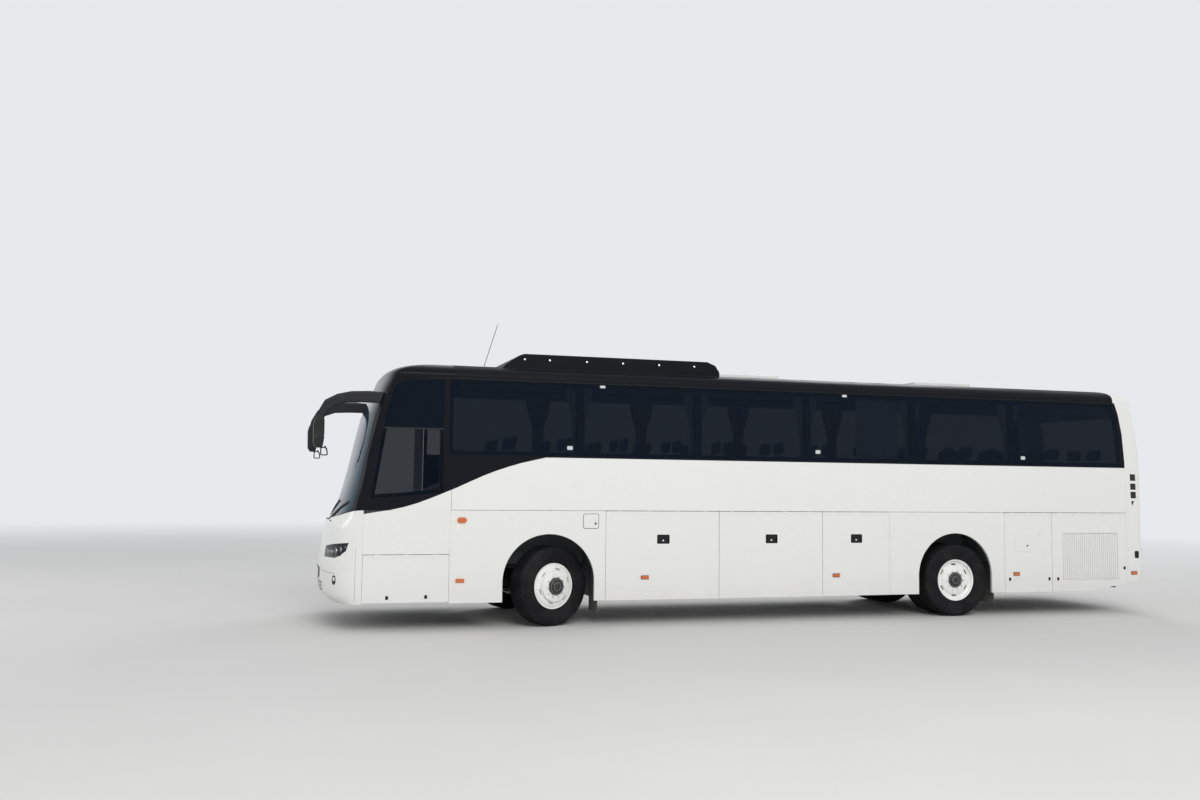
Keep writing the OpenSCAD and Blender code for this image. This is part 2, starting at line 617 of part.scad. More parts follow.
module rear_flap_left() { color("white") side_door(seam_5, seam_6, sill_z, 3); }
// The lower edge rises behind the rear wheels
module rear_rise() {
    side_cut() polygon([[tail_x - 1270, 0], [tail_x - 1270, sill_z - 12], [tail_x - 780, sill_z + 53],
        [tail_x - 450, sill_z + 94], [tail_x + 100, sill_z + 150], [tail_x + 100, 0]]);
}
grille_x0 = seam_6 + 193;
grille_x1 = tail_seam_x - 178;
grille_z0 = 489;
grille_z1 = 1198;
grille_in = 16;                         // depth of the recess
grille_bars = 28;
grille_slot = 9;                        // clear width between two upright blades
grille_rise = 10;                       // how far the blades stand up in the recess
module engine_flap() {
    difference() {
        side_door(seam_6, tail_seam_x - tail_post, sill_z, 4);
        rear_rise();
        box(grille_x0, grille_x1, -side_y - 1, -side_y + grille_in, grille_z0, grille_z1);
    }
    // Upright blades of the grille
    for (k = [0:grille_bars - 1]) {
        x = grille_x0 + 12 + k * (grille_x1 - grille_x0 - 24) / grille_bars;
        box(x + grille_slot / 2, x + (grille_x1 - grille_x0 - 24) / grille_bars - grille_slot / 2,
            -side_y + grille_in - grille_rise, -side_y + grille_in + 1, grille_z0 + 12, grille_z1 - 12);
    }
}
module engine_flap_left() { color("white") engine_flap(); }
module luggage_door_4() { color("white") mirror([0, 1, 0]) side_door(seam_1, seam_2, sill_z, 4, true); }
module luggage_door_5() { color("white") mirror([0, 1, 0]) side_door(seam_2, seam_3, sill_z, 4, true); }
module engine_flap_right() { color("white") mirror([0, 1, 0]) engine_flap(); }

// Passenger doors on the right, drawn on the left and mirrored

front_door_x0 = nose_seam_x + 95;
front_door_x1 = seam_front - 38;
front_door_z1 = cant_z - 240;
mid_door_x0 = seam_3 + 12;
mid_door_x1 = seam_4 - 110;
mid_door_z1 = belt_z - 14;
door_z0 = 345;
door_t = 36;
arm_pivot_in = 190;                    // from the outer face in to the arm's pivots
arm_len = 560;
arm_shaft_r = 14;
arm_pin_r = 12;
// Outline of the front door above the seam, grown by d
module front_door_outline(d = 0) {
    polygon([[front_door_x0 - d, -100], [front_door_x0 + 15 - d, 150], [front_door_x0 + 230 - d,
        front_door_z1 - hatch_z + d],
        [front_door_x1 + d, front_door_z1 - hatch_z + d], [front_door_x1 + d, -100]]);
}
module front_door_pane(d) {
    polygon([[front_door_x0 + 110 + d, 60 + d], [front_door_x0 + 290 + d, front_door_z1 - hatch_z - 90 - d],
        [front_door_x1 - 90 - d, front_door_z1 - hatch_z - 90 - d], [front_door_x1 - 90 - d, 60 + d]]);
}
module front_door() {
    color("white") mirror([0, 1, 0]) {
        difference() {
            union() {
                left_plate(door_t, side_y) translate([front_door_x0, door_z0])
                    square([front_door_x1 - front_door_x0, hatch_z - door_z0 - 1]);
                leaning_plate(door_t) intersection() { front_door_outline(); translate([-4000, -3])
                    square([8000, 4000]); }
            }
            leaning_plate(pane_t + e + 10, -10) front_door_pane(-e);
            leaning_plate(door_t * 2, -10) front_door_pane(40);
        }
        door_bracket(front_door_x0 + 130 + arm_len);
    }
}
module front_door_glass() {
    color([0.12, 0.16, 0.2, 0.6]) mirror([0, 1, 0]) leaning_plate(pane_t) front_door_pane(0);
}
// Bracket inside a leaf that carries the outer end of its arm
arm_z = 1120;
module door_bracket(x) {
    difference() {
        union() {
            box(x - 60, x + 60, -side_y + door_t - 1, -side_y + arm_pivot_in - 30, arm_z - 60, arm_z - 40);
            translate([x, -side_y + arm_pivot_in, arm_z - 60]) cylinder(r = 34, h = 20);
            box(x - 34, x + 34, -side_y + door_t, -side_y + arm_pivot_in, arm_z - 60, arm_z - 40);
        }
        translate([x, -side_y + arm_pivot_in, arm_z - 61]) cylinder(r = arm_pin_r + pin_play, h = 22);
    }
}
module door_arm(x0, x1) {
    y = -side_y + arm_pivot_in;
    translate([x0, y, arm_z - 20]) cylinder(r = 30, h = 40);
    translate([x1, y, arm_z - 20]) cylinder(r = 30, h = 40);
    translate([x1, y, arm_z - 64]) cylinder(r = arm_pin_r, h = 50);
    translate([x0, y, arm_z - 90]) cylinder(r = arm_shaft_r, h = 180);
    box(min(x0, x1), max(x0, x1), y - 14, y + 14, arm_z - 14, arm_z + 14);
}
front_arm_x = front_door_x0 + 130;
mid_arm_x = mid_door_x1 - 130;
module front_door_arm() { color([0.3, 0.3, 0.32]) mirror([0, 1, 0]) door_arm(front_arm_x,
    front_arm_x + arm_len); }
module mid_door_arm() { color([0.3, 0.3, 0.32]) mirror([0, 1, 0]) door_arm(mid_arm_x,
    mid_arm_x - arm_len); }
module mid_door() {
    color("white") mirror([0, 1, 0]) {
        difference() {
            union() {
                left_plate(door_t, side_y) translate([mid_door_x0, door_z0])
                    square([mid_door_x1 - mid_door_x0, hatch_z - door_z0 - 1]);
                leaning_plate(door_t) translate([mid_door_x0, -3]) square([mid_door_x1 - mid_door_x0,
                    mid_door_z1 - hatch_z]);
            }
            leaning_plate(pane_t + e + 10, -10) mid_door_pane(-e);
            leaning_plate(door_t * 2, -10) mid_door_pane(40);
        }
        door_bracket(mid_arm_x - arm_len);
    }
}
module mid_door_pane(d) { rounded(mid_door_x0 + 120 + d, 60 + d, mid_door_x1 - 120 - d,
    mid_door_z1 - hatch_z - 80 - d, 40); }
module mid_door_glass() { color([0.12, 0.16, 0.2, 0.6]) mirror([0, 1, 0]) leaning_plate(pane_t)
    mid_door_pane(0); }

// Inside and below

inner_y = side_y - wall_t - e;
hold_z = 350;
bulk_front = front_arch_x + 690;
bulk_rear = rear_arch_x - 700;
house_y = side_y - 805;
house_x = 674;
step_y = side_y - 840;
well_y = side_y - 995;                  // inner wall of the middle door's well
driver_floor_z = 980;
module cabin_floor() {
    color([0.3, 0.31, 0.33]) {
        difference() {
            union() {
                box(seam_front, tail_seam_x, -inner_y + 60, inner_y - 60, floor_z - 60, floor_z);
                box(seam_front, tail_seam_x, -inner_y, inner_y, floor_z - 60, floor_z - 20);
            }
            box(mid_door_x0 - 5, mid_door_x1 + 30, well_y + 20, wide, 0, floor_z + 1);
        }
        // Steps of the front door, and the driver's floor
        box(nose_seam_x + 60, seam_front - e, -inner_y, step_y, driver_floor_z - 40, driver_floor_z);
        box(front_door_x0 - 20, front_door_x1 + 20, step_y + e, inner_y - 60, 340, 380);
        box(front_door_x0 - 20, front_door_x1 + 20, step_y + e, side_y - 355, 380 + e, 620);
        box(front_door_x0 - 20, front_door_x1 + 20, step_y + e, side_y - 585, 620 + e, 860);
        // Steps of the middle door
        box(mid_door_x0 - 4, mid_door_x1 + 28, well_y + e, inner_y - 60, 340, 380);
        box(mid_door_x0 - 4, mid_door_x1 + 28, well_y + e, side_y - 325, 380 + e, 620);
        box(mid_door_x0 - 4, mid_door_x1 + 28, well_y + e, side_y - 545, 620 + e, 860);
        box(mid_door_x0 - 4, mid_door_x1 + 28, well_y + e, side_y - 765, 860 + e, 1100);
        // Wheel housings
        for (x = [front_arch_x, rear_arch_x], s = [-1, 1], d = [-1, 1]) {
            y = s * (inner_y + house_y) / 2;
            h = (inner_y - house_y) / 2;
            box(x + d * (house_x + 8) - 8, x + d * (house_x + 8) + 8, y - h, y + h, sill_z + 20,
                floor_z - 60 - e);
        }
        for (x = [front_arch_x, rear_arch_x], s = [-1, 1]) {
            y = s * house_y;
            box(x - house_x + e, x + house_x - e, y - 6, y + 6, 760, floor_z - 60 - e);
        }
    }
}
module luggage_hold() {
    color([0.55, 0.56, 0.57]) {
        difference() {
            box(bulk_front + 2, bulk_rear - 20, -side_y + hatch_t + 8, side_y - hatch_t - 8, hold_z - 20,
                hold_z);
            box(mid_door_x0 - 20, bulk_rear, well_y, wide, 0, 2000);
        }
        box(bulk_front + 2, bulk_front + 30, -side_y + hatch_t + 8, side_y - hatch_t - 8, hold_z + e,
            floor_z - 60 - e);
        box(bulk_rear - 48, bulk_rear - 20, -side_y + hatch_t + 8, well_y, hold_z + e, floor_z - 60 - e);
        box(mid_door_x0 - 48, mid_door_x0 - 20, well_y + e, side_y - hatch_t - 8, hold_z + e,
            floor_z - 60 - e);
        box(mid_door_x0 - 20 + e, bulk_rear - 48 - e, well_y - 16, well_y, hold_z + e, floor_z - 60 - e);
        for (x = [seam_2, seam_3 - 60]) box(x - 30, x + 30, -side_y + hatch_t + 8,
            -side_y + hatch_t + 60, hold_z + e, floor_z - 60 - e);
        box(seam_2 - 30, seam_2 + 30, side_y - hatch_t - 60, side_y - hatch_t - 8, hold_z + e,
            floor_z - 60 - e);
    }
}
rail_y = 400;
rail_z0 = 700;
rail_z1 = 880;
tow_r = 25;
rail_front = nose_seam_x - 200;
rail_rear = tail_seam_x + 150;
module underframe() {
    color([0.12, 0.12, 0.13]) {
        difference() {
            for (s = [-1, 1]) {
                box(rail_front, bulk_front - 10, s * rail_y - 35, s * rail_y + 35, rail_z0, rail_z1);
                box(bulk_rear + 20, rail_rear, s * rail_y - 35, s * rail_y + 35, rail_z0, rail_z1);
            }
            // Upright holes for a towing pin, open from below
            for (x = [rail_front + 60, rail_rear - 60], s = [-1, 1])
                translate([x, s * rail_y, rail_z0 - 1]) cylinder(r = tow_r, h = rail_z1 - rail_z0 + 2);
        }
        for (x = [-2300, -1200, 600, rear_axle_x - 640, rear_axle_x + 700, tail_seam_x + 20])
            box(x - 40, x + 40, -rail_y + 35 + e, rail_y - 35 - e, rail_z0 + 20, rail_z1 - 20);
        for (s = [-1, 1], x = [-1500, 500, rear_axle_x - 500, rear_axle_x + 900, tail_seam_x - 150])
            box(x - 40, x + 40, s * rail_y - 30, s * rail_y + 30, rail_z1 + e,
                x < seam_front ? driver_floor_z - 40 - e : floor_z - 60 - e);
    }
}

// Axles, steering and wheels

kingpin_y = front_track_half - kingpin_offset;
module front_axle() {
    color([0.15, 0.15, 0.16]) translate([front_axle_x, 0, 0]) difference() {
        union() {
            box(-55, 55, -kingpin_y + 200, kingpin_y - 200, axle_z - 130, axle_z - 40);
            for (s = [-1, 1]) {
                box(-50, 50, s > 0 ? kingpin_y - 200 : -kingpin_y, s > 0 ? kingpin_y : -kingpin_y + 200,
                    axle_z - 49, axle_z + 49);
                box(-55, 55, s > 0 ? kingpin_y - 260 : -kingpin_y + 160,
                    s > 0 ? kingpin_y - 160 : -kingpin_y + 260, axle_z - 130, axle_z + 50);
                translate([0, s * kingpin_y, axle_z - 49]) cylinder(r = 50, h = 98);
                // Spring saddle up to the rail
                box(-70, 70, s * rail_y - 35, s * rail_y + 35, axle_z - 42, rail_z0 - e);
            }
        }
        for (s = [-1, 1]) translate([0, s * kingpin_y, axle_z - 60]) cylinder(r = kingpin_r + pin_play,
            h = 120);
    }
}
// Swivel with its kingpin and stub axle, drawn straight ahead around the left kingpin
kingpin_r = 22;
drum_r = 200;
stub_r = 40;
module knuckle() {
    for (z = [-92, 54]) {
        translate([0, 0, z]) cylinder(r = 48, h = 38);
        translate([-40, -66, z]) cube([80, 66, 38]);
    }
    translate([0, 0, -98]) cylinder(r = kingpin_r, h = 196);
    translate([-48, -100, -92]) cube([96, 44, 184]);
    // Brake drum and stub axle
    translate([0, -98, 0]) rotate([90, 0, 0]) cylinder(r = drum_r, h = 62);
    translate([0, -150, 0]) rotate([90, 0, 0]) cylinder(r = stub_r, h = kingpin_offset - 54);
}
module at_knuckle(side) {
    translate([front_axle_x, side * kingpin_y, axle_z]) rotate([0, 0, steer_rest])
        mirror([0, side > 0 ? 1 : 0, 0]) children();
}
module knuckle_left() { color([0.2, 0.2, 0.21]) at_knuckle(-1) knuckle(); }
module knuckle_right() { color([0.2, 0.2, 0.21]) at_knuckle(1) knuckle(); }

// Half section of a tyre from its bead out to the middle of the tread: radius and half width
tyre_h = (tyre_d - rim_d) / 2;
rim_r = rim_d / 2;
seat_r = rim_r - 13;
rim_half = 122;
TYRE = [[seat_r, rim_half - 22.5], [rim_r + 1, rim_half - 11], [rim_r + 0.38 * tyre_h, tyre_w / 2 - 4],
    [rim_r + 0.66 * tyre_h, tyre_w / 2], [tyre_d / 2 - 24, tyre_w / 2 - 10], [tyre_d / 2 - 6,
        tyre_w / 2 - 24],
    [tyre_d / 2, tyre_w / 2 - 50]];
module tyre() {
    rotate([90, 0, 0]) rotate_extrude($fn = 48)
        polygon(concat([for (p = TYRE) p], [for (k = [len(TYRE) - 1:-1:0]) [TYRE[k][0], -TYRE[k][1]]]));
}
// Half section of a rim's barrel around its middle plane a, from the outer lip to the inner one
function barrel(a) = [[rim_r, a + rim_half], [rim_r, a + rim_half - 9], [seat_r - e, a + rim_half - 22],
    [seat_r - e, a - rim_half + 22], [rim_r, a - rim_half + 9], [rim_r, a - rim_half], [rim_r - 24,
        a - rim_half],
    [rim_r - 32, a - rim_half + 30]];
hub_r = 108;
bore_r = stub_r + pin_play;
slot_r = 226;
// A wheel's disc with its hub, as a half section from the barrel in to the axis and out again:
// a is the axial place of its flat ring, rise that of the dome above the ring, nose that of the hub's end
function disc_back(a, rise, hub_in) = [[rim_r - 32, a - 16], [slot_r + 12, a - 14], [slot_r - 12, a - 14],
    [slot_r - 30, a + rise - 12], [82, a + rise - 12], [82, hub_in], [bore_r, hub_in]];
function disc_front(a, rise, nose, lip) = [[0, nose], [70, nose], [76, nose - 9], [hub_r - 4, nose - 12],
    [hub_r, nose - 16],
    [hub_r, a + rise + 2], [160, a + rise], [slot_r - 26, a + rise - 8], [slot_r - 12, a], [slot_r + 14, a],
    [rim_r - 26, (a + lip) / 2], [rim_r - 22, lip]];
module slots(a, turn) {
    for (k = [0:5]) rotate([0, turn + k * 60, 0]) translate([0, -a - 40, slot_r]) rotate([-90, 0, 0]) {
        for (x = [-31, 31]) translate([x, 0, 0]) cylinder(r = 10, h = 80, $fn = 24);
        translate([-31, -10, 0]) cube([62, 20, 80]);
    }
}
front_disc = 138;
front_nose = 215;
module rim_front() {
    difference() {
        rotate([90, 0, 0]) rotate_extrude($fn = 48) polygon(concat(barrel(0), disc_back(front_disc - 30,
            40, -8),
            [[bore_r, 101], [0, 101]], disc_front(front_disc, 38, front_nose, rim_half - 8)));
        slots(front_disc, 13);
    }
}
module rim_front_left() { color("white") at_knuckle(-1) translate([0, -kingpin_offset, 0]) rim_front(); }
module rim_front_right() { color("white") at_knuckle(1) translate([0, -kingpin_offset, 0]) rim_front(); }
module tyre_front_left() { color([0.08, 0.08, 0.08]) at_knuckle(-1) translate([0, -kingpin_offset, 0])
    tyre(); }
module tyre_front_right() { color([0.08, 0.08, 0.08]) at_knuckle(1) translate([0, -kingpin_offset, 0])
    tyre(); }
module rear_pair(side) {
    translate([rear_axle_x, side * outer_track_half, axle_z]) mirror([0, side > 0 ? 1 : 0, 0]) children();
}
// Both rims of a pair turn as one: the hub reaches in to the inner rim's disc
rear_disc = 72;
rear_nose = 116;
module rims_rear() {
    difference() {
        rotate([90, 0, 0]) rotate_extrude($fn = 48) polygon(concat(barrel(0), disc_back(rear_disc, 32,
            -190),
            [[bore_r, -190], [bore_r, 61], [0, 61]], disc_front(rear_disc, 32, rear_nose, rim_half - 8)));
        slots(rear_disc, 0);
    }
    rotate([90, 0, 0]) rotate_extrude($fn = 48) polygon(concat(barrel(-twin_pitch), [[rim_r - 36,
        -twin_pitch + 90],
        [hub_r, -twin_pitch + 90], [hub_r, -twin_pitch + 76], [bore_r, -twin_pitch + 76], [bore_r, -180],
            [90, -180],
        [hub_r + 6, -190], [hub_r + 6, -twin_pitch + 104], [rim_r - 33, -twin_pitch + 104], [rim_r - 24,
            -twin_pitch + 122]]));
}
module tyres_rear() { tyre(); translate([0, twin_pitch, 0]) tyre(); }
module rims_rear_left() { color("white") rear_pair(-1) rims_rear(); }
module rims_rear_right() { color("white") rear_pair(1) rims_rear(); }
module tyres_rear_left() { color([0.08, 0.08, 0.08]) rear_pair(-1) tyres_rear(); }
module tyres_rear_right() { color([0.08, 0.08, 0.08]) rear_pair(1) tyres_rear(); }
module rear_axle() {
    color([0.15, 0.15, 0.16]) {
        translate([rear_axle_x, 0, axle_z]) for (s = [0, 1]) mirror([0, s, 0]) rotate([90, 0, 0]) {
            cylinder(r = 85, h = outer_track_half - twin_pitch - 95);
            translate([0, 0, outer_track_half - twin_pitch - 105]) cylinder(r = drum_r, h = 168);
            cylinder(r = stub_r, h = outer_track_half + 55);
        }
        translate([rear_axle_x, 0, axle_z]) sphere(210, $fn = 32);
        for (s = [-1, 1]) {
            box(rear_axle_x - 70, rear_axle_x + 70, s * rail_y - 35, s * rail_y + 35,
                axle_z + 60, rail_z0 - e);
            // Jacking pad
            box(rear_axle_x - 60, rear_axle_x + 60, s * (rail_y + 105) - 50, s * (rail_y + 105) + 50,
                axle_z - 110, axle_z - 40);
        }
    }
}

// Lamps, mirrors and other outfit

flap_at = house_x - 8 - e;              // against the rear wall of the wheel housing
module mud_flaps() {
    color([0.35, 0.37, 0.36]) for (s = [-1, 1]) {
        y1 = inner_y - 5;
        y0 = y1 - 390;
        box(front_arch_x + flap_at, front_arch_x + flap_at + 8, s > 0 ? y0 : -y1, s > 0 ? y1 : -y0, 160, 745);
        box(rear_arch_x + flap_at, rear_arch_x + flap_at + 8, s > 0 ? y0 - 200 : -y1, s > 0 ? y1 : 200 - y0,
            170, 760);
    }
}
marker_w = 110;
marker_h = 50;
marker_x = seam_front + 84;
oval_x = seam_front + 127;
oval_w = 50;
oval_z = 1375;
oval_r = 36;
module marker_lamps() {
    color([0.9, 0.35, 0.08]) for (s = [0, 1]) mirror([0, s, 0]) {
        box(marker_x, marker_x + marker_w, -side_y - 14, -side_y - e, 585, 585 + marker_h);
        // Oval indicator
        for (x = [oval_x, oval_x + oval_w]) translate([x, -side_y - e, oval_z]) rotate([90, 0, 0])
            cylinder(r = oval_r, h = 16, $fn = 32);
        box(oval_x, oval_x + oval_w, -side_y - 16 - e, -side_y - e, oval_z - oval_r, oval_z + oval_r);
    }
}
mirror_x = nose_x - 160;
mirror_y = side_y - 133;
// Outline of a mirror's arm from the side, from the tip of the nose
MIRROR_ARM = [[700, 2990], [520, 3000], [290, 2990], [120, 2950], [-30, 2870], [-112, 2720],
    [-142, 2600], [-50, 2560],
    [-20, 2680], [80, 2790], [220, 2840], [420, 2850], [670, 2850]];
// Arm that leaves the corner of the roof cap, curves forward and carries the hanging mirror
module mirrors() {
    color([0.05, 0.05, 0.06]) mirrored() {
        difference() {
            translate([0, -mirror_y, 0]) rotate([90, 0, 0]) translate([0, 0, -30]) linear_extrude(60)
                translate([nose_x, 0]) polygon(MIRROR_ARM);
            nose_body(-0.7, 2700, 3200);
        }
        translate([0, -mirror_y + 30, 0]) rotate([90, 0, 0]) translate([0, 0, -105]) linear_extrude(210)
            translate([nose_x, 0]) polygon([[-140, 2640], [-160, 2560], [-154, 2320], [-120, 2270],
                [-45, 2270], [-28, 2400], [-30, 2640]]);
        // Loop that guards the small mirror below
        translate([0, -mirror_y + 20, 0]) rotate([90, 0, 0]) translate([0, 0, -20]) linear_extrude(40)
            difference() {
            translate([nose_x, 0]) polygon([[-67, 2272], [-67, 2185], [-52, 2172], [15, 2172], [28,
                2190], [16, 2260], [-5, 2300], [-15, 2300], [-30, 2272]]);
            translate([nose_x, 0]) polygon([[-53, 2262], [-53, 2190], [-48, 2186], [8, 2186], [13, 2194],
                [2, 2250], [-10, 2268]]);
        }
    }
}
// Arms and blades in the front view, parked low on the windscreen
module wiper_outline(y) {
    translate([y, screen_base]) {
        polygon([[-16, -23], [18, -35], [640, 133], [634, 153]]);
        polygon([[130, 29], [1050, 209], [1046, 231], [126, 51]]);
    }
}
module wipers() {
    color([0.05, 0.05, 0.05]) intersection() {
        nose_coat(16, screen_base - 65, screen_base + 325);
        front_cut(ahead_x, screen_end_x) for (y = [275 - side_y, 1215 - side_y]) wiper_outline(y);
    }
}
ac_x0 = roof_front_x + 660;
ac_x1 = ac_x0 + 3110;
ac_z0 = roof_z - 45;
ac_z1 = roof_z + 155;
ac_y = side_y - 275;
module air_conditioner() {
    color([0.06, 0.06, 0.07]) difference() {
        translate([0, ac_y, 0]) rotate([90, 0, 0]) linear_extrude(2 * ac_y) polygon([[ac_x0, ac_z0],
            [ac_x0 + 60, ac_z0 + 60],
            [ac_x0 + 240, ac_z1 - 20], [ac_x0 + 300, ac_z1], [ac_x1 - 180, ac_z1], [ac_x1 - 60, ac_z1 - 50],
            [ac_x1, ac_z1 - 140], [ac_x1, ac_z0]]);
        translate([ac_x0 - 10, 0, 0]) rotate([90, 0, 90]) linear_extrude(ac_x1 - ac_x0 + 20)
            roof_section(-e);
    }
}
hatch_half = 500;
module roof_hatches() {
    color([0.8, 0.8, 0.78]) for (x = [ac_x1 + 717, rear_axle_x + 376])
        box(x - hatch_half, x + hatch_half, -380, 380, roof_top_z + e, roof_top_z + 75);
}
antenna_x = roof_front_x + 540;
module antenna() {
    color("black") {
        translate([antenna_x, -300, roof_top_z + e]) cylinder(r = 14, h = 30);
        translate([antenna_x, -300, roof_top_z + 22]) rotate([0, 17, 0]) cylinder(r = 4, h = 640, $fn = 12);
    }
}
engine_x0 = rear_axle_x + 1750;
engine_x1 = tail_seam_x - 60;
engine_half = 320;
module engine() {
    color([0.3, 0.3, 0.3]) {
        box(engine_x0, engine_x1, -engine_half, engine_half, axle_z - 32, axle_z + 668);
        for (x = [engine_x0 + 250, engine_x1 - 250]) box(x - 50, x + 50, -rail_y + 35 + e,
            rail_y - 35 - e, rail_z0 + 20, rail_z0 + 120);
        // Shaft forward to the rear axle
        translate([rear_axle_x + 213, 0, axle_z + 30]) rotate([0, 90, 0]) cylinder(r = 55,
            h = engine_x0 - rear_axle_x - 205);
    }
}

seat_rows = 13;
first_row_x = -650;
last_row = 930;                         // from the last row to the rear bumper
seat_pitch = (tail_x - last_row - first_row_x) / (seat_rows - 1);
aisle_half = 190;
bench_in = 185;                         // from the flat side in to a bench
seat_w = (side_y - bench_in - aisle_half - 20) / 2;
driver_y = side_y - 475;
driver_x = nose_x + 760;                // middle of the steering wheel
// A bench for two: cushion, back and foot
module bench(x) {
    translate([x, -aisle_half - 2 * seat_w - 20, 0]) {
        translate([-230, 0, floor_z + 340]) cube([440, 2 * seat_w + 20, 110]);
        for (y = [0, seat_w + 20]) translate([0, y + seat_w, 0]) rotate([90, 0, 0]) linear_extrude(seat_w)
            polygon([[170, floor_z + 450 + e], [215, floor_z + 450 + e], [335, floor_z + 1150], [320,
                floor_z + 1185],
                [270, floor_z + 1190], [236, floor_z + 1160]]);
        translate([-60, seat_w - 40, floor_z + e]) cube([120, 100, 340 - 2 * e]);
    }
}
module seats() {
    color([0.12, 0.14, 0.25]) {
        for (k = [0:seat_rows - 1]) {
            bench(first_row_x + k * seat_pitch);
            if (k != 6 && k != 7) mirror([0, 1, 0]) bench(first_row_x + k * seat_pitch);
        }
        // Driver's seat
        translate([driver_x, -driver_y, driver_floor_z]) {
            translate([420, -160, e]) cube([300, 300, 360]);
            translate([280, -240, 360 + 2 * e]) cube([500, 480, 110]);
            translate([0, 240, 0]) rotate([90, 0, 0]) linear_extrude(480)
                polygon([[730, 471], [790, 471], [880, 1140], [840, 1180], [770, 1160]]);
        }
    }
}
module dashboard() {
    color([0.13, 0.13, 0.14]) difference() {
        intersection() {
            nose_body(wall_t + e, driver_floor_z - 150, screen_base + 265);
            translate([nose_x, side_y - 85, driver_floor_z]) rotate([90, 0, 0])
                linear_extrude(2 * side_y - 170)
                polygon([[-180, e], [620, e], [670, 220], [590, 500], [420, 560], [-180, 440]]);
        }
        box(nose_x + 420, 0, 240, wide, 0, 4000);
        steering_column(30 + e, 400);
    }
}
// The driver's steering column, its upper end at the wheel
module at_wheel() { translate([driver_x, -driver_y, driver_floor_z + 580]) rotate([0, 28, 0]) children(); }
module steering_column(r, h) { at_wheel() translate([0, 0, -h]) cylinder(r = r, h = h); }
module steering_wheel() {
    color([0.06, 0.06, 0.06]) {
        at_wheel() {
            rotate_extrude($fn = 40) translate([225, 0]) circle(14, $fn = 16);
            translate([0, 0, -40]) cylinder(r = 50, h = 40);
            for (a = [0, 120, 240]) rotate([0, 0, a]) translate([0, -14, -10]) cube([225, 28, 12]);
        }
        steering_column(30, 340);
    }
}
rack_x0 = roof_front_x + 130;
rack_gap = 1;                           // to the roof's flat facets
module luggage_racks() {
    color([0.6, 0.6, 0.62]) for (s = [0, 1]) mirror([0, s, 0]) {
        translate([rack_x0, 0, 0]) rotate([90, 0, 90]) linear_extrude(tail_seam_x - 200 - rack_x0)
            polygon([[rack_gap - half_at(cant_z + 10, wall_t), cant_z + 10],
                [rack_gap - half_at(cant_z + 32, wall_t), cant_z + 32],
                [125 - side_y, cant_z + 24], [405 - side_y, cant_z - 48], [463 - side_y, cant_z + 5],
                [480 - side_y, cant_z - 5], [490 - side_y, cant_z - 60], [475 - side_y, cant_z - 98],
                [405 - side_y, cant_z - 104]]);
        // Curtain rail
        leaning_plate(60, wall_t + e) translate([rack_x0, curtain_z1 + e])
            square([tail_seam_x - 200 - rack_x0, 18]);
    }
}
curtain_w = 190;
curtain_z0 = pane_z0 - hatch_z + 30;
curtain_z1 = pane_z1 - hatch_z - 30;
curtain_in = wall_t + 22;
module curtains() {
    color([0.45, 0.47, 0.5]) {
        for (i = [1:len(pillar_x) - 1], d = [-1, 1]) mirrored() leaning_plate(30, curtain_in)
            translate([pillar_x[i] + d * (curtain_w / 2 + 5) - curtain_w / 2, curtain_z0])
                square([curtain_w, curtain_z1 - curtain_z0]);
        leaning_plate(30, curtain_in) translate([pillar_x[4] - 900, curtain_z0]) square([700,
            curtain_z1 - curtain_z0]);
    }
}

place() underframe();
place() cabin_floor();
place() luggage_hold();
place() lower_sides();
place() waist_panels();
place() window_bands();
place() side_glass();
place() roof_shell();
place() nose_frame();
place() windscreen();
place() front_panel();
place() front_bumper();
place() headlamps();
place() tail_shell();
place() rear_window();
place() tail_lamps();
place() rear_bumper();
place() air_conditioner();
place() roof_hatches();
place() mirrors();
place() wipers();
place() front_axle();
place() rear_axle();
place() engine();
place() seats();
place() dashboard();
place() steering_wheel();
place() luggage_racks();
place() curtains();
place() mud_flaps();
place() marker_lamps();
place() hatch_hinges();
place() antenna();
place() knuckle_left();
place() knuckle_right();
place() tyre_front_left();
place() tyre_front_right();
place() tyres_rear_left();
place() tyres_rear_right();
place() rim_front_left();
place() rim_front_right();
place() rims_rear_left();
place() rims_rear_right();
place() service_flap();
place() luggage_door_1();
place() luggage_door_2();
place() luggage_door_3();
place() rear_flap_left();
place() engine_flap_left();
place() luggage_door_4();
place() luggage_door_5();
place() engine_flap_right();
place() engine_lid();
place() front_door();
place() front_door_glass();
place() front_door_arm();
place() mid_door();
place() mid_door_glass();
place() mid_door_arm();
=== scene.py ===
"""Looks of an airport passenger bus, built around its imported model."""
import json
import math
from functools import lru_cache

import bmesh
import bpy
from bpy.props import FloatProperty, FloatVectorProperty, IntProperty, PointerProperty
from mathutils import Matrix, Vector
from mathutils.bvhtree import BVHTree


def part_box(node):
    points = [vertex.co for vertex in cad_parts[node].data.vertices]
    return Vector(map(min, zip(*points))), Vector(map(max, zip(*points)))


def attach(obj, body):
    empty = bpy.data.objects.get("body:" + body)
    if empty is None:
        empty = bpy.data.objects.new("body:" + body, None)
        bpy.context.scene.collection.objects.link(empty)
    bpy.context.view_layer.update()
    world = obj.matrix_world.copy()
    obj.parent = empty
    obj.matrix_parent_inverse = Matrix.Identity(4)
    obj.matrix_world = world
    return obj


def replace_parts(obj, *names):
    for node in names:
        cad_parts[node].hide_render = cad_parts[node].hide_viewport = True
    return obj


bl_info = {
    "name": "Airport passenger bus",
    "version": (1, 0, 0),
    "blender": (4, 5, 0),
    "location": "View3D > Sidebar > Bus",
    "description": "Finishes and small fittings of an airport passenger bus",
    "category": "Object",
}

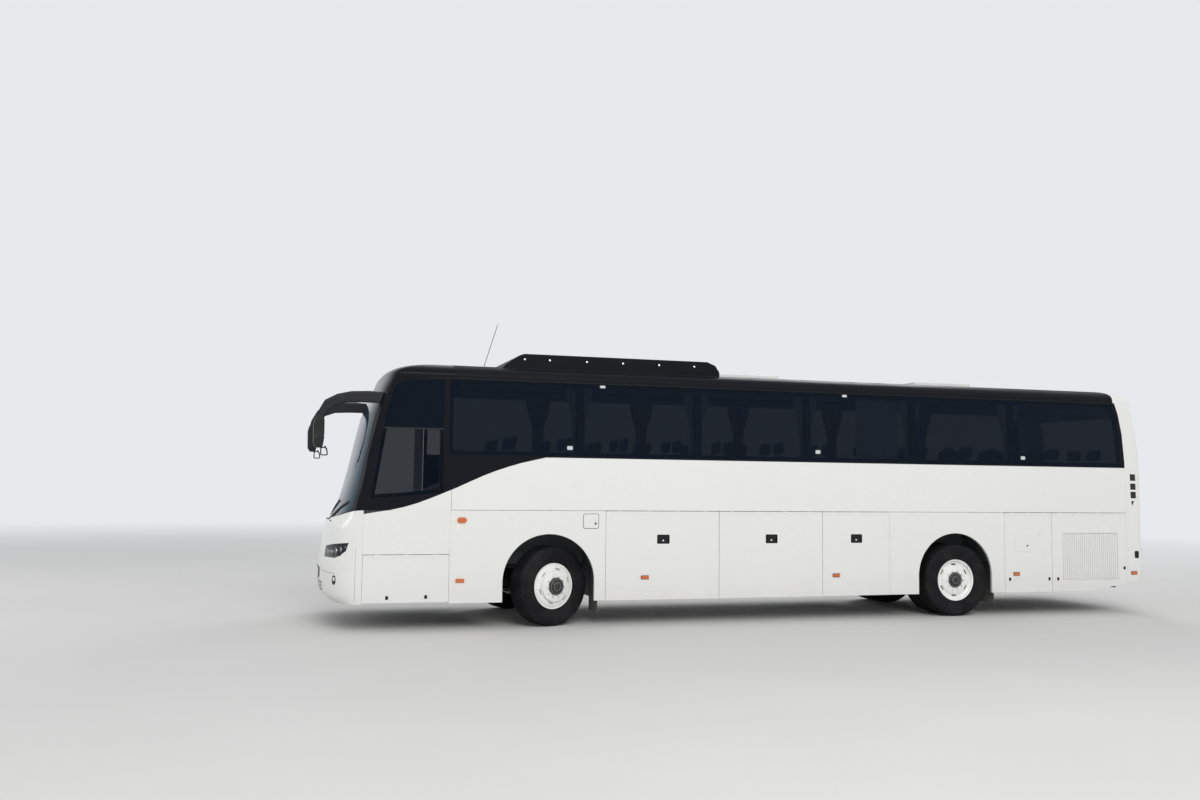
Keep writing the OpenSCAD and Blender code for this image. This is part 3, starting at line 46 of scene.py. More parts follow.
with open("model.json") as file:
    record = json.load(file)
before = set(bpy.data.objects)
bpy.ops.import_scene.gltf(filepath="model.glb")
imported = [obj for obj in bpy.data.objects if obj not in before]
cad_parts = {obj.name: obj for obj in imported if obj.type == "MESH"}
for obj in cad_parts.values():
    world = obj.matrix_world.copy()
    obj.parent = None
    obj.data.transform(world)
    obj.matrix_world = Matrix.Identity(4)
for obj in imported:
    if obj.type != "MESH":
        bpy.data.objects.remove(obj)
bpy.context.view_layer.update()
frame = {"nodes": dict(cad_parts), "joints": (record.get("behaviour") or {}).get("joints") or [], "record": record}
JOINTS = {j["name"]: j for j in frame["joints"]}
BODY_OF = {n: b for b, nodes in frame["record"]["behaviour"]["bodies"].items() for n in nodes}
# Centre of the front wheels on the drawing, and from it the drawing's place in the row frame
AXLE_X, AXLE_Z = 0.035, 0.512
ZERO_X = JOINTS["steer_left"]["pos_m"][0] - AXLE_X
LIFT = JOINTS["steer_left"]["pos_m"][2] - AXLE_Z
TYRE_R = (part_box("tyres_rear_left")[1][2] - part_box("tyres_rear_left")[0][2]) / 2
RIM_R = 0.2985
SIDES = (-1, 1)
SIDE_Y = 1.275
NOSE_SEAM_X = -2.345
TAIL_SEAM_X = 9.21
PILLARS = (0.445, 2.12, 3.785, 5.48, 7.17)
SEAM_Z = 1.5
CANT_Z = 3.2
LEAN = 0.04 / (CANT_Z - SEAM_Z)
NOWHERE = Matrix()
BACKDROP = (0.80, 0.82, 0.845)
# Well clear of the bus, where rays towards its skin start
AHEAD_X, BEHIND_X, BESIDE_Y, ABOVE_Z = -5, 12, 3, 6
PULL_Z, TOP_LAMP_Z, BLIND_Z = 1.125, 3.152, 2.72
BREAK_ANGLE, FLAT_ANGLE = math.radians(38), math.radians(0.2)
MERGE_DISTANCE = 1e-5
COVER_FRAMES = 20


# Places


def bus(x, y, z):
    """A point in the row frame from one on the drawing, whose zero line is just ahead of the front axle."""
    return Vector((x + ZERO_X, y, z + LIFT))


def side_y(z, side=-1):
    """Where the side's outer face is at height z; side is -1 for the driver's side."""
    return side * (SIDE_Y - max(0.0, z - SEAM_Z) * LEAN)


@lru_cache(maxsize=None)
def skin(node):
    mesh = frame["nodes"][node].data
    return BVHTree.FromPolygons([v.co for v in mesh.vertices], [p.vertices for p in mesh.polygons])


def on_skin(nodes, start, direction):
    """Nearest point and normal of these nodes, seen from start."""
    hits = [skin(n).ray_cast(Vector(start), Vector(direction).normalized()) for n in nodes]
    hits = [h for h in hits if h[0] is not None]
    if not hits:
        raise RuntimeError(f"nothing of {nodes} lies on the line from {start}")
    near = min(hits, key=lambda h: h[3])
    normal = near[1] if near[1].dot(Vector(direction)) < 0 else -near[1]
    return near[0], normal


def facing(point, outward, up=(0, 0, 1)):
    """Matrix whose Z points outward and whose Y points up, at a point."""
    z = Vector(outward).normalized()
    x = Vector(up).cross(z).normalized()
    return Matrix.Translation(point) @ Matrix((x, z.cross(x), z)).transposed().to_4x4()


def from_ahead(node, y, z):
    """Matrix on what the nose shows there."""
    return facing(*on_skin([node], bus(AHEAD_X, y, z), (1, 0, 0)))


def from_behind(node, y, z):
    """Matrix on what the tail shows there."""
    return facing(*on_skin([node], bus(BEHIND_X, y, z), (-1, 0, 0)))


def at_tail_corner(x, z, side):
    """Matrix on the tail's flank."""
    return facing(*on_skin(["tail_shell", "rear_bumper"], bus(x, side * BESIDE_Y, z), (0, -side, 0)))


def side_frame(x, z, side=-1, out=0.0):
    """Matrix on the bus's side with X rearwards on the driver's side, Y up and Z outwards."""
    lean = LEAN if z > SEAM_Z else 0.0
    return facing(bus(x, side_y(z, side) + side * out, z), (0, side, lean))


def side_sheet(side=-1):
    """Matrix of the whole upper side: X rearwards on the driver's side, Y up from the seam and Z outwards."""
    return facing(bus(0, side * SIDE_Y, SEAM_Z), (0, side, LEAN))


# Shaping


def piece(name, bm, look, body="body", smooth=32.0, bevel=0.0, tidy=True):
    """Turns a bmesh into a finished piece that moves with a body."""
    if tidy:
        bmesh.ops.recalc_face_normals(bm, faces=bm.faces[:])
    mesh = bpy.data.meshes.new(name)
    bm.to_mesh(mesh)
    bm.free()
    mesh.polygons.foreach_set("use_smooth", [smooth > 0] * len(mesh.polygons))
    if smooth > 0:
        mesh.set_sharp_from_angle(angle=math.radians(smooth))
    obj = bpy.data.objects.new(name, mesh)
    bpy.context.scene.collection.objects.link(obj)
    mesh.materials.append(finish(look))
    if bevel:
        edge = obj.modifiers.new("Broken edges", "BEVEL")
        edge.width, edge.segments = bevel, 2
        edge.limit_method, edge.angle_limit = "ANGLE", BREAK_ANGLE
        if smooth > 0:
            obj.modifiers.new("Flat faces", "WEIGHTED_NORMAL").keep_sharp = True
    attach(obj, body)
    return obj


def block(bm, low, high, matrix=Matrix()):
    low, high = Vector(low), Vector(high)
    size = Matrix.Diagonal((*(high - low), 1))
    bmesh.ops.create_cube(bm, size=1, matrix=matrix @ Matrix.Translation((low + high) / 2) @ size)


def rod(bm, start, end, radius, steps=16):
    turn = (end - start).to_track_quat("Z", "Y").to_matrix().to_4x4()
    bmesh.ops.create_cone(bm, cap_ends=True, segments=steps, radius1=radius, radius2=radius,
        depth=(end - start).length, matrix=Matrix.Translation((start + end) / 2) @ turn)


def lathe(bm, profile, matrix, steps=48):
    """Spins a profile of (radius, height) around the matrix's Z."""
    before = set(bm.verts)
    verts = [bm.verts.new((r, 0, h)) for r, h in profile]
    edges = [bm.edges.new(pair) for pair in zip(verts, verts[1:])]
    bmesh.ops.spin(bm, geom=verts + edges, cent=(0, 0, 0), axis=(0, 0, 1), angle=math.tau, steps=steps,
        use_merge=True)
    bmesh.ops.remove_doubles(bm, verts=[v for v in bm.verts if v not in before], dist=1e-6)
    bmesh.ops.transform(bm, matrix=matrix, verts=[v for v in bm.verts if v not in before])


def plate(bm, outline, thickness, matrix, round_by=0.0, steps=4, ring=0.0):
    """A flat plate from an outline of (x, y) points, its corners rounded, with Z as its outer side.

    A ring's width leaves only that much along the inside of the outline.
    """
    before = set(bm.verts)
    face = bm.faces.new([bm.verts.new((x, y, 0)) for x, y in outline])
    if round_by:
        bmesh.ops.bevel(bm, geom=face.verts[:], offset=round_by, offset_type="OFFSET", segments=steps,
            profile=0.5, affect="VERTICES", material=-1)
    faces = [f for f in bm.faces if all(v not in before for v in f.verts)]
    if ring:
        inner = faces
        faces = bmesh.ops.inset_region(bm, faces=inner, thickness=ring, use_boundary=True,
            use_even_offset=True)["faces"]
        bmesh.ops.delete(bm, geom=inner, context="FACES")
    out = bmesh.ops.extrude_face_region(bm, geom=faces)
    top = [v for v in out["geom"] if isinstance(v, bmesh.types.BMVert)]
    bmesh.ops.translate(bm, verts=top, vec=(0, 0, thickness))
    bmesh.ops.transform(bm, matrix=matrix, verts=[v for v in bm.verts if v not in before])


def oblong(width, height):
    x, y = width / 2, height / 2
    return [(-x, -y), (x, -y), (x, y), (-x, y)]


# Shapes that a fitting repeats at each of its places


def slab(outline, thickness, round_by=0.0, steps=4, move=(0, 0, 0), ring=0.0):
    return lambda bm, at: plate(bm, outline, thickness, at @ Matrix.Translation(move), round_by, steps, ring)


def tile(width, height, *rounding, **more):
    return slab(oblong(width, height), *rounding, **more)


def turned(profile, steps, move=(0, 0, 0)):
    return lambda bm, at: lathe(bm, profile, at @ Matrix.Translation(move), steps)


def bar(low, high):
    return lambda bm, at: block(bm, low, high, at)


def pin(start, end, radius, steps=16):
    return lambda bm, at: rod(bm, at @ Vector(start), at @ Vector(end), radius, steps)


def fitting(name, look, places, *shapes, body="body", **edges):
    """One piece that has the same shapes at each place."""
    bm = bmesh.new()
    for at in places:
        for shape in shapes:
            shape(bm, at)
    return piece(name, bm, look, body, **edges)


def skin_line(bm, nodes, starts, direction, radius):
    """A thin bead along the skin of some nodes, through what each start sees."""
    points = [on_skin(nodes, s, direction)[0] for s in starts]
    for a, b in zip(points, points[1:]):
        rod(bm, a, b, radius, 8)


def beads(name, *lines):
    """A piece of such beads, each given by nodes, starts, direction and radius."""
    bm = bmesh.new()
    for line in lines:
        skin_line(bm, *line)
    # Dark beads for seams and edges; on the bumpers they are painted shade along the creases
    piece(name, bm, "rubber_and_shade_lines", smooth=0)


def pillow(low, high, power=5.0, cuts=7):
    """A box from low to high with round edges, as evenly meshed foam."""
    bm = bmesh.new()
    bmesh.ops.create_cube(bm, size=2)
    bmesh.ops.subdivide_edges(bm, edges=bm.edges[:], cuts=cuts, use_grid_fill=True)
    low, high = Vector(low), Vector(high)
    for v in bm.verts:
        size = sum(abs(c) ** power for c in v.co) ** (1 / power)
        v.co *= max(abs(c) for c in v.co) / size
        v.co = Vector(((high[k] + low[k]) / 2 + v.co[k] * (high[k] - low[k]) / 2 for k in range(3)))
    return bm


def bend(bm, shape):
    """Moves every vertex to where shape puts it."""
    for v in bm.verts:
        v.co = Vector(shape(*v.co))


def shaped(obj):
    """A new mesh of an object as its modifiers make it."""
    return bpy.data.meshes.new_from_object(obj.evaluated_get(bpy.context.evaluated_depsgraph_get()))


def upholster(name, bm, cell, swell):
    """Foam under its cover: even cells, swollen as a pressed cloth by no more than swell."""
    mesh = bpy.data.meshes.new(name)
    bmesh.ops.recalc_face_normals(bm, faces=bm.faces[:])
    bm.to_mesh(mesh)
    bm.free()
    obj = bpy.data.objects.new(name, mesh)
    bpy.context.scene.collection.objects.link(obj)
    cells = obj.modifiers.new("Cells", "REMESH")
    cells.mode, cells.voxel_size = "VOXEL", cell
    even = shaped(obj)
    obj.modifiers.clear()
    obj.data = even
    cover = obj.modifiers.new("Cover", "CLOTH").settings
    cover.use_pressure, cover.uniform_pressure_force = True, 4
    cover.effector_weights.gravity = 0
    for count in range(1, COVER_FRAMES + 1):
        bpy.context.scene.frame_set(count)
    for before, after in zip(even.vertices, shaped(obj).vertices):
        move = after.co - before.co
        if move.length > swell:
            move *= swell / move.length
        before.co = before.co + move
    bpy.context.scene.frame_set(1)
    bpy.data.objects.remove(obj)
    return even


def copies(bm, mesh, matrices):
    """Adds a copy of a mesh at each of these places."""
    for matrix in matrices:
        before = len(bm.verts)
        bm.from_mesh(mesh)
        bm.verts.ensure_lookup_table()
        bmesh.ops.transform(bm, matrix=matrix, verts=bm.verts[before:])


def merged(node):
    """A copy of a node's mesh with its doubled points merged."""
    bm = bmesh.new()
    bm.from_mesh(frame["nodes"][node].data)
    bmesh.ops.remove_doubles(bm, verts=bm.verts[:], dist=MERGE_DISTANCE)
    return bm


def dress(node, look, bevel=0.002, smooth=32.0):
    """Stands a finished copy of a node in its place, with broken edges."""
    bm = merged(node)
    bmesh.ops.dissolve_degenerate(bm, dist=MERGE_DISTANCE, edges=bm.edges[:])
    bmesh.ops.dissolve_limit(bm, angle_limit=FLAT_ANGLE, verts=bm.verts[:], edges=bm.edges[:])
    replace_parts(piece(node + "_skin", bm, look, BODY_OF[node], smooth, bevel), node)


def keep(node, look):
    """Gives a node that stays as it is its finish."""
    obj = frame["nodes"][node]
    if not obj.material_slots:
        obj.data.materials.append(finish(look))
    for slot in obj.material_slots:
        slot.material = finish(look)


# Finishes


class Signal:
    """A socket's value, so that shader maths reads as plain arithmetic."""

    def __init__(self, nodes, socket):
        self.nodes, self.socket = nodes, socket

    def maths(self, operation, *values, clamp=False):
        settings = {"operation": operation, "use_clamp": clamp}
        node = self.nodes.add("ShaderNodeMath", settings, dict(enumerate(values)))
        return Signal(self.nodes, node.outputs[0])

    def __radd__(self, other): return self.maths("ADD", other, self)
    def __rsub__(self, other): return self.maths("SUBTRACT", other, self)
    def __abs__(self): return self.maths("ABSOLUTE", self)

    def wave(self): return self.maths("SINE", self)
    def within(self): return self.maths("ADD", self, 0.0, clamp=True)

    def rising(self, low, high):
        """0 below low, 1 above high and smooth between."""
        node = self.nodes.add("ShaderNodeMapRange", {"interpolation_type": "SMOOTHSTEP"},
            {"Value": self, "From Min": low, "From Max": high})
        return Signal(self.nodes, node.outputs["Result"])


def operator_of(operation):
    return lambda self, other: self.maths(operation, self, other)


for sign, operation in (("add", "ADD"), ("sub", "SUBTRACT"), ("mul", "MULTIPLY"), ("truediv", "DIVIDE"),
        ("pow", "POWER"), ("gt", "GREATER_THAN"), ("lt", "LESS_THAN")):
    setattr(Signal, f"__{sign}__", operator_of(operation))


class Nodes:
    """The nodes of a material or a world, cleared first."""

    def __init__(self, owner):
        owner.use_nodes = True
        self.tree = owner.node_tree
        self.tree.nodes.clear()

    def add(self, kind, settings=None, values=None):
        """A node of a kind, its settings first and then the values or links of its sockets."""
        node = self.tree.nodes.new(kind)
        for key, value in (settings or {}).items():
            setattr(node, key, value)
        for key, value in (values or {}).items():
            socket = node.inputs[key]
            value = value.socket if isinstance(value, Signal) else value
            if isinstance(value, bpy.types.NodeSocket):
                self.tree.links.new(value, socket)
            elif socket.type == "RGBA" and len(value) == 3:
                socket.default_value = (*value, 1)
            else:
                socket.default_value = value
        return node


class Finish(Nodes):
    """A material and the nodes in it."""

    def __init__(self, name):
        self.material = bpy.data.materials.new(name)
        super().__init__(self.material)
        coordinates = self.add("ShaderNodeTexCoord").outputs["Object"]
        centre = self.add("ShaderNodeMapping", {}, {"Vector": coordinates, "Location": (-ZERO_X, 0, -LIFT)})
        self.place = centre.outputs[0]
        split = self.add("ShaderNodeSeparateXYZ", {}, {0: self.place})
        self.x, self.y, self.z = (Signal(self, s) for s in split.outputs)

    def noise(self, scale, detail=3.0, stretch=None):
        where = self.place
        if stretch:
            where = self.add("ShaderNodeMapping", {}, {"Vector": where, "Scale": stretch}).outputs[0]
        node = self.add("ShaderNodeTexNoise", {},
            {"Vector": where, "Scale": scale, "Detail": detail, "Roughness": 0.55})
        return Signal(self, node.outputs["Fac"])

    def blend(self, mask, colour_a, colour_b):
        """colour_a where mask is 0 and colour_b where it is 1."""
        node = self.add("ShaderNodeMix", {"data_type": "RGBA"}, {0: mask, 6: colour_a, 7: colour_b})
        return node.outputs[2]

    def relief(self, height, distance, strength=1.0):
        values = {"Height": height, "Distance": distance, "Strength": strength}
        return self.add("ShaderNodeBump", {}, values).outputs[0]

    def surface(self, base, roughness, **sockets):
        """The shader itself; names of sockets are written with _ for a space."""
        values = {"Base Color": base, "Roughness": roughness}
        values.update({key.replace("_", " "): value for key, value in sockets.items()})
        shader = self.add("ShaderNodeBsdfPrincipled", {}, values)
        self.add("ShaderNodeOutputMaterial", {}, {"Surface": shader.outputs[0]})
        return self.material


RECIPES = {}


def recipe(make):
    """Lists a function as the maker of the material that has its name."""
    RECIPES[make.__name__] = make
    return make


@lru_cache(maxsize=None)
def finish(name):
    """The material of that name, made when it is first asked for."""
    return RECIPES[name](Finish(name))


def bus_look():
    return bpy.context.scene.bus_look


def road_dust(f):
    """Mask of the dust that wheels throw up on low panels."""
    cloud = f.noise(1.7, 5.0) * 0.6 + f.noise(9.0, 4.0, stretch=(0.35, 1, 1.6)) * 0.4
    low = 1.0 - f.z.rising(0.3, 0.95)
    return (low * low * (cloud - 0.28) * 1.5).within()


def clean_white(f):
    """White paint with a faint cloud in it and dust low down: its colour, roughness and the dust's mask."""
    dust = road_dust(f)
    white = tuple(bus_look().white)
    clean = f.blend(f.noise(0.6, 1.0).rising(0.3, 0.7), white, tuple(c * 0.99 for c in white))
    rough = 0.26 + dust * 0.5 + f.noise(3.0, 2.0) * 0.04
    return f.blend(dust * 0.4, clean, (0.46, 0.43, 0.38)), rough, dust


@recipe
def white_paint(f):
    base, rough, _ = clean_white(f)
    return f.surface(base, rough, Coat_Weight=0.2, Coat_Roughness=0.1)


@recipe
def tail_paint(f):
    """White paint; inside the corner outlets it is painted near black, as painted shade in their recesses."""
    base, _, dust = clean_white(f)
    # Painted shade: this mask marks the recesses of the corner outlets, coloured near black for the shade inside
    # them
    dark = 0.0
    for low, high in ((1.729, 1.829), (1.861, 1.956), (2.0, 2.1)):
        rise = (f.z - low) / (high - low)
        edge = rise * 0.004
        dark = dark + (f.x > 9.304 - edge) * (f.x < 9.408 - edge) * (rise > -0.005) * (rise < 1.005)
    rise = (f.z - 1.606) / 0.08
    dark = dark + (f.x > 9.328 - rise * 0.02) * (f.x < 9.328 + rise * 0.042) * (rise < 1.005)
    dark = (dark * (abs(f.y) > 1.0)).within()
    rough = 0.26 + dust * 0.4 + dark * 0.3
    return f.surface(f.blend(dark, base, (0.006, 0.006, 0.007)), rough, Coat_Weight=0.1)


@recipe
def swoosh_paint(f):
    """White paint whose front upper corner is black, where the band runs down to the nose."""
    base, rough, _ = clean_white(f)
    black = (f.z - swoosh_z(f.x)).rising(-0.0008, 0.0008) * (f.x < -2.07)
    return f.surface(f.blend(black, base, tuple(bus_look().black)), rough, Coat_Weight=0.2, Coat_Roughness=0.1)


@recipe
def black_paint(f):
    film = f.noise(3.0, 4.0, stretch=(1, 1, 0.3))
    specks = f.noise(160.0, 2.0)
    dust = (specks - 0.66).within() * 0.08 + (film - 0.45).within() * 0.008
    base = f.blend(dust, tuple(bus_look().black), (0.20, 0.19, 0.18))
    return f.surface(base, 0.12 + film * 0.1, Specular_IOR_Level=0.05)


@recipe
def roof_paint(f):
    film = f.noise(2.2, 5.0)
    specks = f.noise(55.0, 3.0)
    dust = (film - 0.45).within() * 0.03 + (specks - 0.66).within() * 0.08
    base = f.blend(dust, tuple(bus_look().black), (0.2, 0.185, 0.17))
    return f.surface(base, 0.32 + film * 0.2, Specular_IOR_Level=0.05)


@recipe
def side_glass(f):
    """Tinted panes; the driver's is clearer below its divider."""
    film = f.noise(4.0, 4.0)
    clear = (f.x < -1.33) * (f.z < 2.54) * (f.y < 0.0)
    tint = bus_look().tint - clear * (bus_look().tint - 0.34)
    return f.surface((0.003, 0.008, 0.017), 0.03 + film * 0.03, Alpha=tint, Specular_IOR_Level=0.09)


@recipe
def screen_glass(f):
    film = f.noise(3.0, 4.0)
    band = f.z.rising(2.66, 2.84)
    base = f.blend(band, (0.012, 0.055, 0.085), (0.006, 0.018, 0.026))
    return f.surface(base, 0.03 + film * 0.03, Alpha=(0.76 + band * 0.16), Specular_IOR_Level=0.1)


@recipe
def lamp_glass(f):
    return f.surface((0.03, 0.033, 0.037), 0.03 + f.noise(20.0) * 0.03, Alpha=0.55, Specular_IOR_Level=0.2)


@recipe
def mirror_silver(f):
    return f.surface((0.75, 0.77, 0.8), 0.02 + f.noise(6.0, 3.0) * 0.03, Metallic=1.0)


@recipe
def label_blank(f):
    base = f.blend(f.noise(90.0, 2.0), (0.5, 0.52, 0.54), (0.62, 0.63, 0.64))
    return f.surface(base, 0.5 + f.noise(30.0) * 0.1)


@recipe
def mesh_black(f):
    """Fine black mesh behind the openings; its holes are painted darker, as painted shade seen through them."""
    shaded_holes = abs((f.y * 700.0).wave()) * abs((f.z * 700.0).wave())
    # Painted shade: the holes are coloured near black for the shade behind the mesh
    base = f.blend(shaded_holes, (0.035, 0.035, 0.037), (0.003, 0.003, 0.003))
    return f.surface(base, 0.5 + shaded_holes * 0.3, Normal=f.relief(shaded_holes, 0.002, 0.6))


@recipe
def bright_metal(f):
    scuffs = f.noise(300.0, 2.0, stretch=(1, 8, 8))
    return f.surface((0.82, 0.82, 0.83), 0.12 + scuffs * 0.12, Metallic=1.0)


@recipe
def dark_steel(f):
    grime = f.noise(6.0, 6.0)
    rust = (f.noise(23.0, 5.0) - 0.56).within() * 2.2
    base = f.blend(rust, (0.028, 0.028, 0.03), (0.09, 0.045, 0.022))
    base = f.blend((grime - 0.45).within(), base, (0.16, 0.14, 0.12))
    return f.surface(base, 0.5 + grime * 0.3, Normal=f.relief(grime, 0.001, 0.4))


@recipe
def cast_iron(f):
    grain = f.noise(60.0, 5.0)
    oil = f.noise(4.0, 4.0)
    base = f.blend(oil.rising(0.45, 0.7), (0.075, 0.075, 0.08), (0.025, 0.022, 0.02))
    return f.surface(base, 0.45 + grain * 0.3, Metallic=0.35, Normal=f.relief(grain, 0.0012))


@recipe
def tyre_rubber(f):
    grain = f.noise(90.0, 4.0)
    dust = f.noise(5.0, 5.0)
    base = f.blend((dust * 0.5 - 0.22).within(), (0.009, 0.009, 0.011), (0.09, 0.086, 0.08))
    return f.surface(base, 0.62 + grain * 0.2, Specular_IOR_Level=0.12, Normal=f.relief(grain, 0.0006, 0.6))


@recipe
def wheel_paint(f):
    dust = f.noise(13.0, 5.0)
    streaks = f.noise(40.0, 3.0)
    base = f.blend((dust - 0.46).within() * 0.7, (0.83, 0.83, 0.8), (0.42, 0.39, 0.35))
    return f.surface(base, 0.34 + streaks * 0.18, Coat_Weight=0.15, Coat_Roughness=0.12)


@recipe
def hub_paint(f):
    grime = f.noise(45.0, 5.0)
    base = f.blend(grime.rising(0.5, 0.75), (0.018, 0.018, 0.02), (0.09, 0.085, 0.08))
    return f.surface(base, 0.28 + grime * 0.25)


@recipe
def black_plastic(f):
    grain = f.noise(420.0, 2.0)
    wear = f.noise(7.0, 4.0)
    base = f.blend(wear.rising(0.5, 0.9), (0.012, 0.012, 0.013), (0.03, 0.03, 0.03))
    return f.surface(base, 0.4 + wear * 0.12, Specular_IOR_Level=0.22, Normal=f.relief(grain, 0.0002, 0.5))


# Dark rubber of the seals, seams and piping, and also the colour of the painted shade lines along the bumpers'
# creases and round the filler flap
@recipe
def rubber_and_shade_lines(f):
    grain = f.noise(150.0, 2.0)
    return f.surface((0.012, 0.012, 0.013), 0.6 + grain * 0.2)


@recipe
def flap_rubber(f):
    mud = f.noise(8.0, 5.0)
    low = 1.0 - f.z.rising(0.15, 0.7)
    base = f.blend((mud * low).within(), (0.055, 0.06, 0.055), (0.16, 0.155, 0.14))
    ribs = (f.z * 420.0).wave()
    return f.surface(base, 0.7 + mud * 0.15, Normal=f.relief(ribs, 0.0008, 0.5))


def ribbed_lens(f, ribs, base, rough, depth):
    return f.surface(base, rough + ribs * 0.1, Normal=f.relief(ribs, depth, 0.5), Coat_Weight=0.8,
        Coat_Roughness=0.03)


@recipe
def red_lens(f):
    ribs = abs((f.z * 520.0).wave())
    return ribbed_lens(f, ribs, f.blend(ribs * 0.4, (0.55, 0.012, 0.01), (0.28, 0.006, 0.006)), 0.1, 0.001)


@recipe
def orange_lens(f):
    ribs = abs((f.x * 620.0).wave())
    return ribbed_lens(f, ribs, f.blend(ribs * 0.5, (0.72, 0.15, 0.012), (0.4, 0.06, 0.008)), 0.12, 0.0008)


@recipe
def clear_lens(f):
    ribs = abs((f.x * 500.0).wave())
    base = f.blend(ribs, (0.75, 0.76, 0.78), (0.5, 0.52, 0.55))
    return f.surface(base, 0.08 + ribs * 0.1, Coat_Weight=0.9, Coat_Roughness=0.03)


@recipe
def lamp_housing(f):
    return f.surface((0.008, 0.009, 0.011), 0.22 + f.noise(120.0, 2.0) * 0.15, Specular_IOR_Level=0.25)


@recipe
def plate_blank(f):
    dirt = f.noise(24.0, 4.0)
    return f.surface(f.blend((dirt - 0.45).within(), (0.7, 0.7, 0.66), (0.4, 0.38, 0.33)), 0.3 + dirt * 0.2)


@recipe
def floor_vinyl(f):
    specks = f.noise(260.0, 2.0)
    wear = f.noise(3.0, 4.0)
    base = f.blend(specks.rising(0.52, 0.62), (0.13, 0.14, 0.155), (0.3, 0.31, 0.33))
    return f.surface(f.blend(wear * 0.3, base, (0.1, 0.1, 0.1)), 0.45 + wear * 0.2)


@recipe
def hold_metal(f):
    brushed = f.noise(30.0, 4.0, stretch=(1, 14, 14))
    base = f.blend(brushed, (0.42, 0.43, 0.44), (0.55, 0.56, 0.57))
    return f.surface(base, 0.35 + brushed * 0.25, Metallic=0.8)


@recipe
def seat_cloth(f):
    across, along = (f.y * 1900.0).wave(), ((f.x + f.z) * 1900.0).wave()
    weave = across * along
    fleck = f.noise(240.0, 2.0)
    base = f.blend(fleck.rising(0.5, 0.66), tuple(bus_look().cloth), (0.10, 0.14, 0.30))
    base = f.blend(weave * 0.25 + 0.25, base, (0.02, 0.022, 0.04))
    return f.surface(base, 0.85, Normal=f.relief(weave, 0.0007, 0.6), Sheen_Weight=0.25)


@recipe
def curtain_cloth(f):
    weave = (f.x * 1500.0).wave() * (f.z * 1500.0).wave()
    shade = f.noise(5.0, 3.0)
    base = f.blend(shade, (0.5, 0.55, 0.65), (0.6, 0.64, 0.72))
    base = f.blend(weave * 0.15 + 0.15, base, (0.36, 0.4, 0.48))
    return f.surface(base, 0.88, Normal=f.relief(weave, 0.0005, 0.5), Sheen_Weight=0.2)


@recipe
def trim_plastic(f):
    grain = f.noise(300.0, 2.0)
    return f.surface(f.blend(grain, (0.36, 0.36, 0.37), (0.46, 0.46, 0.47)), 0.5 + grain * 0.15,
        Normal=f.relief(grain, 0.0003, 0.5))


@recipe
def vent_white(f):
    grime = f.noise(6.0, 5.0)
    base = f.blend((grime - 0.46).within(), (0.8, 0.8, 0.78), (0.4, 0.38, 0.34))
    return f.surface(base, 0.35 + grime * 0.25)


@recipe
def stage_floor(f):
    """A pale floor that runs out into the backdrop far from the bus."""
    cloud = f.noise(0.35, 4.0)
    base = f.blend(cloud, (0.60, 0.59, 0.575), (0.66, 0.65, 0.635))
    floor = f.add("ShaderNodeBsdfPrincipled", {}, {"Base Color": base, "Roughness": 0.75 + f.noise(60.0) * 0.1})
    far = f.add("ShaderNodeEmission", {}, {"Color": BACKDROP, "Strength": 1.0})
    away = (f.x * f.x + f.y * f.y) ** 0.5
    mix = f.add("ShaderNodeMixShader", {}, {0: away.rising(12.0, 38.0), 1: floor.outputs[0], 2: far.outputs[0]})
    f.add("ShaderNodeOutputMaterial", {}, {"Surface": mix.outputs[0]})
    return f.material


@recipe
def rim_shadow(f):
    return f.surface((0.006, 0.006, 0.007), 0.7 + f.noise(20.0) * 0.1, Specular_IOR_Level=0.1)


@recipe
def hub_grey(f):
    grime = f.noise(60.0, 4.0)
    return f.surface(f.blend(grime, (0.13, 0.13, 0.135), (0.2, 0.2, 0.2)), 0.4 + grime * 0.2, Metallic=0.3)


# What a user would change


class BusLook(bpy.types.PropertyGroup):
    white: FloatVectorProperty(name="White", description="Colour of the lower panels", subtype="COLOR",
        default=(0.77, 0.765, 0.735), min=0, max=1)
    black: FloatVectorProperty(name="Black", description="Colour of the window band and nose frame",
        subtype="COLOR", default=(0.009, 0.01, 0.013), min=0, max=1)
    cloth: FloatVectorProperty(name="Seat cloth", description="Main colour of the seats", subtype="COLOR",
        default=(0.035, 0.05, 0.13), min=0, max=1)
    tint: FloatProperty(name="Glass tint", description="How dark the side panes are", default=0.68,
        min=0.1, max=1)
    edge: FloatProperty(name="Panel edge", description="Radius of the edges of panels and doors",
        default=0.003, unit="LENGTH", min=0.0005, max=0.01)


class BusFittings(bpy.types.PropertyGroup):
    tread_grooves: IntProperty(name="Tread grooves", description="Grooves around each tyre", default=4,
        min=2, max=6)
    handle_width: FloatProperty(name="Handle width", description="Width of the flaps' pull handles",
        default=0.16, unit="LENGTH", min=0.08, max=0.25)
    pleat_depth: FloatProperty(name="Pleat depth", description="Depth of the curtains' folds",
        default=0.028, unit="LENGTH", min=0.005, max=0.05)


class PieceMaker(bpy.types.Operator):
    """Base of the operators that make the pieces"""
    bl_options = {"REGISTER", "UNDO"}

    def execute(self, context):
        self.make(context.scene.bus_look, context.scene.bus_fittings)
        return {"FINISHED"}


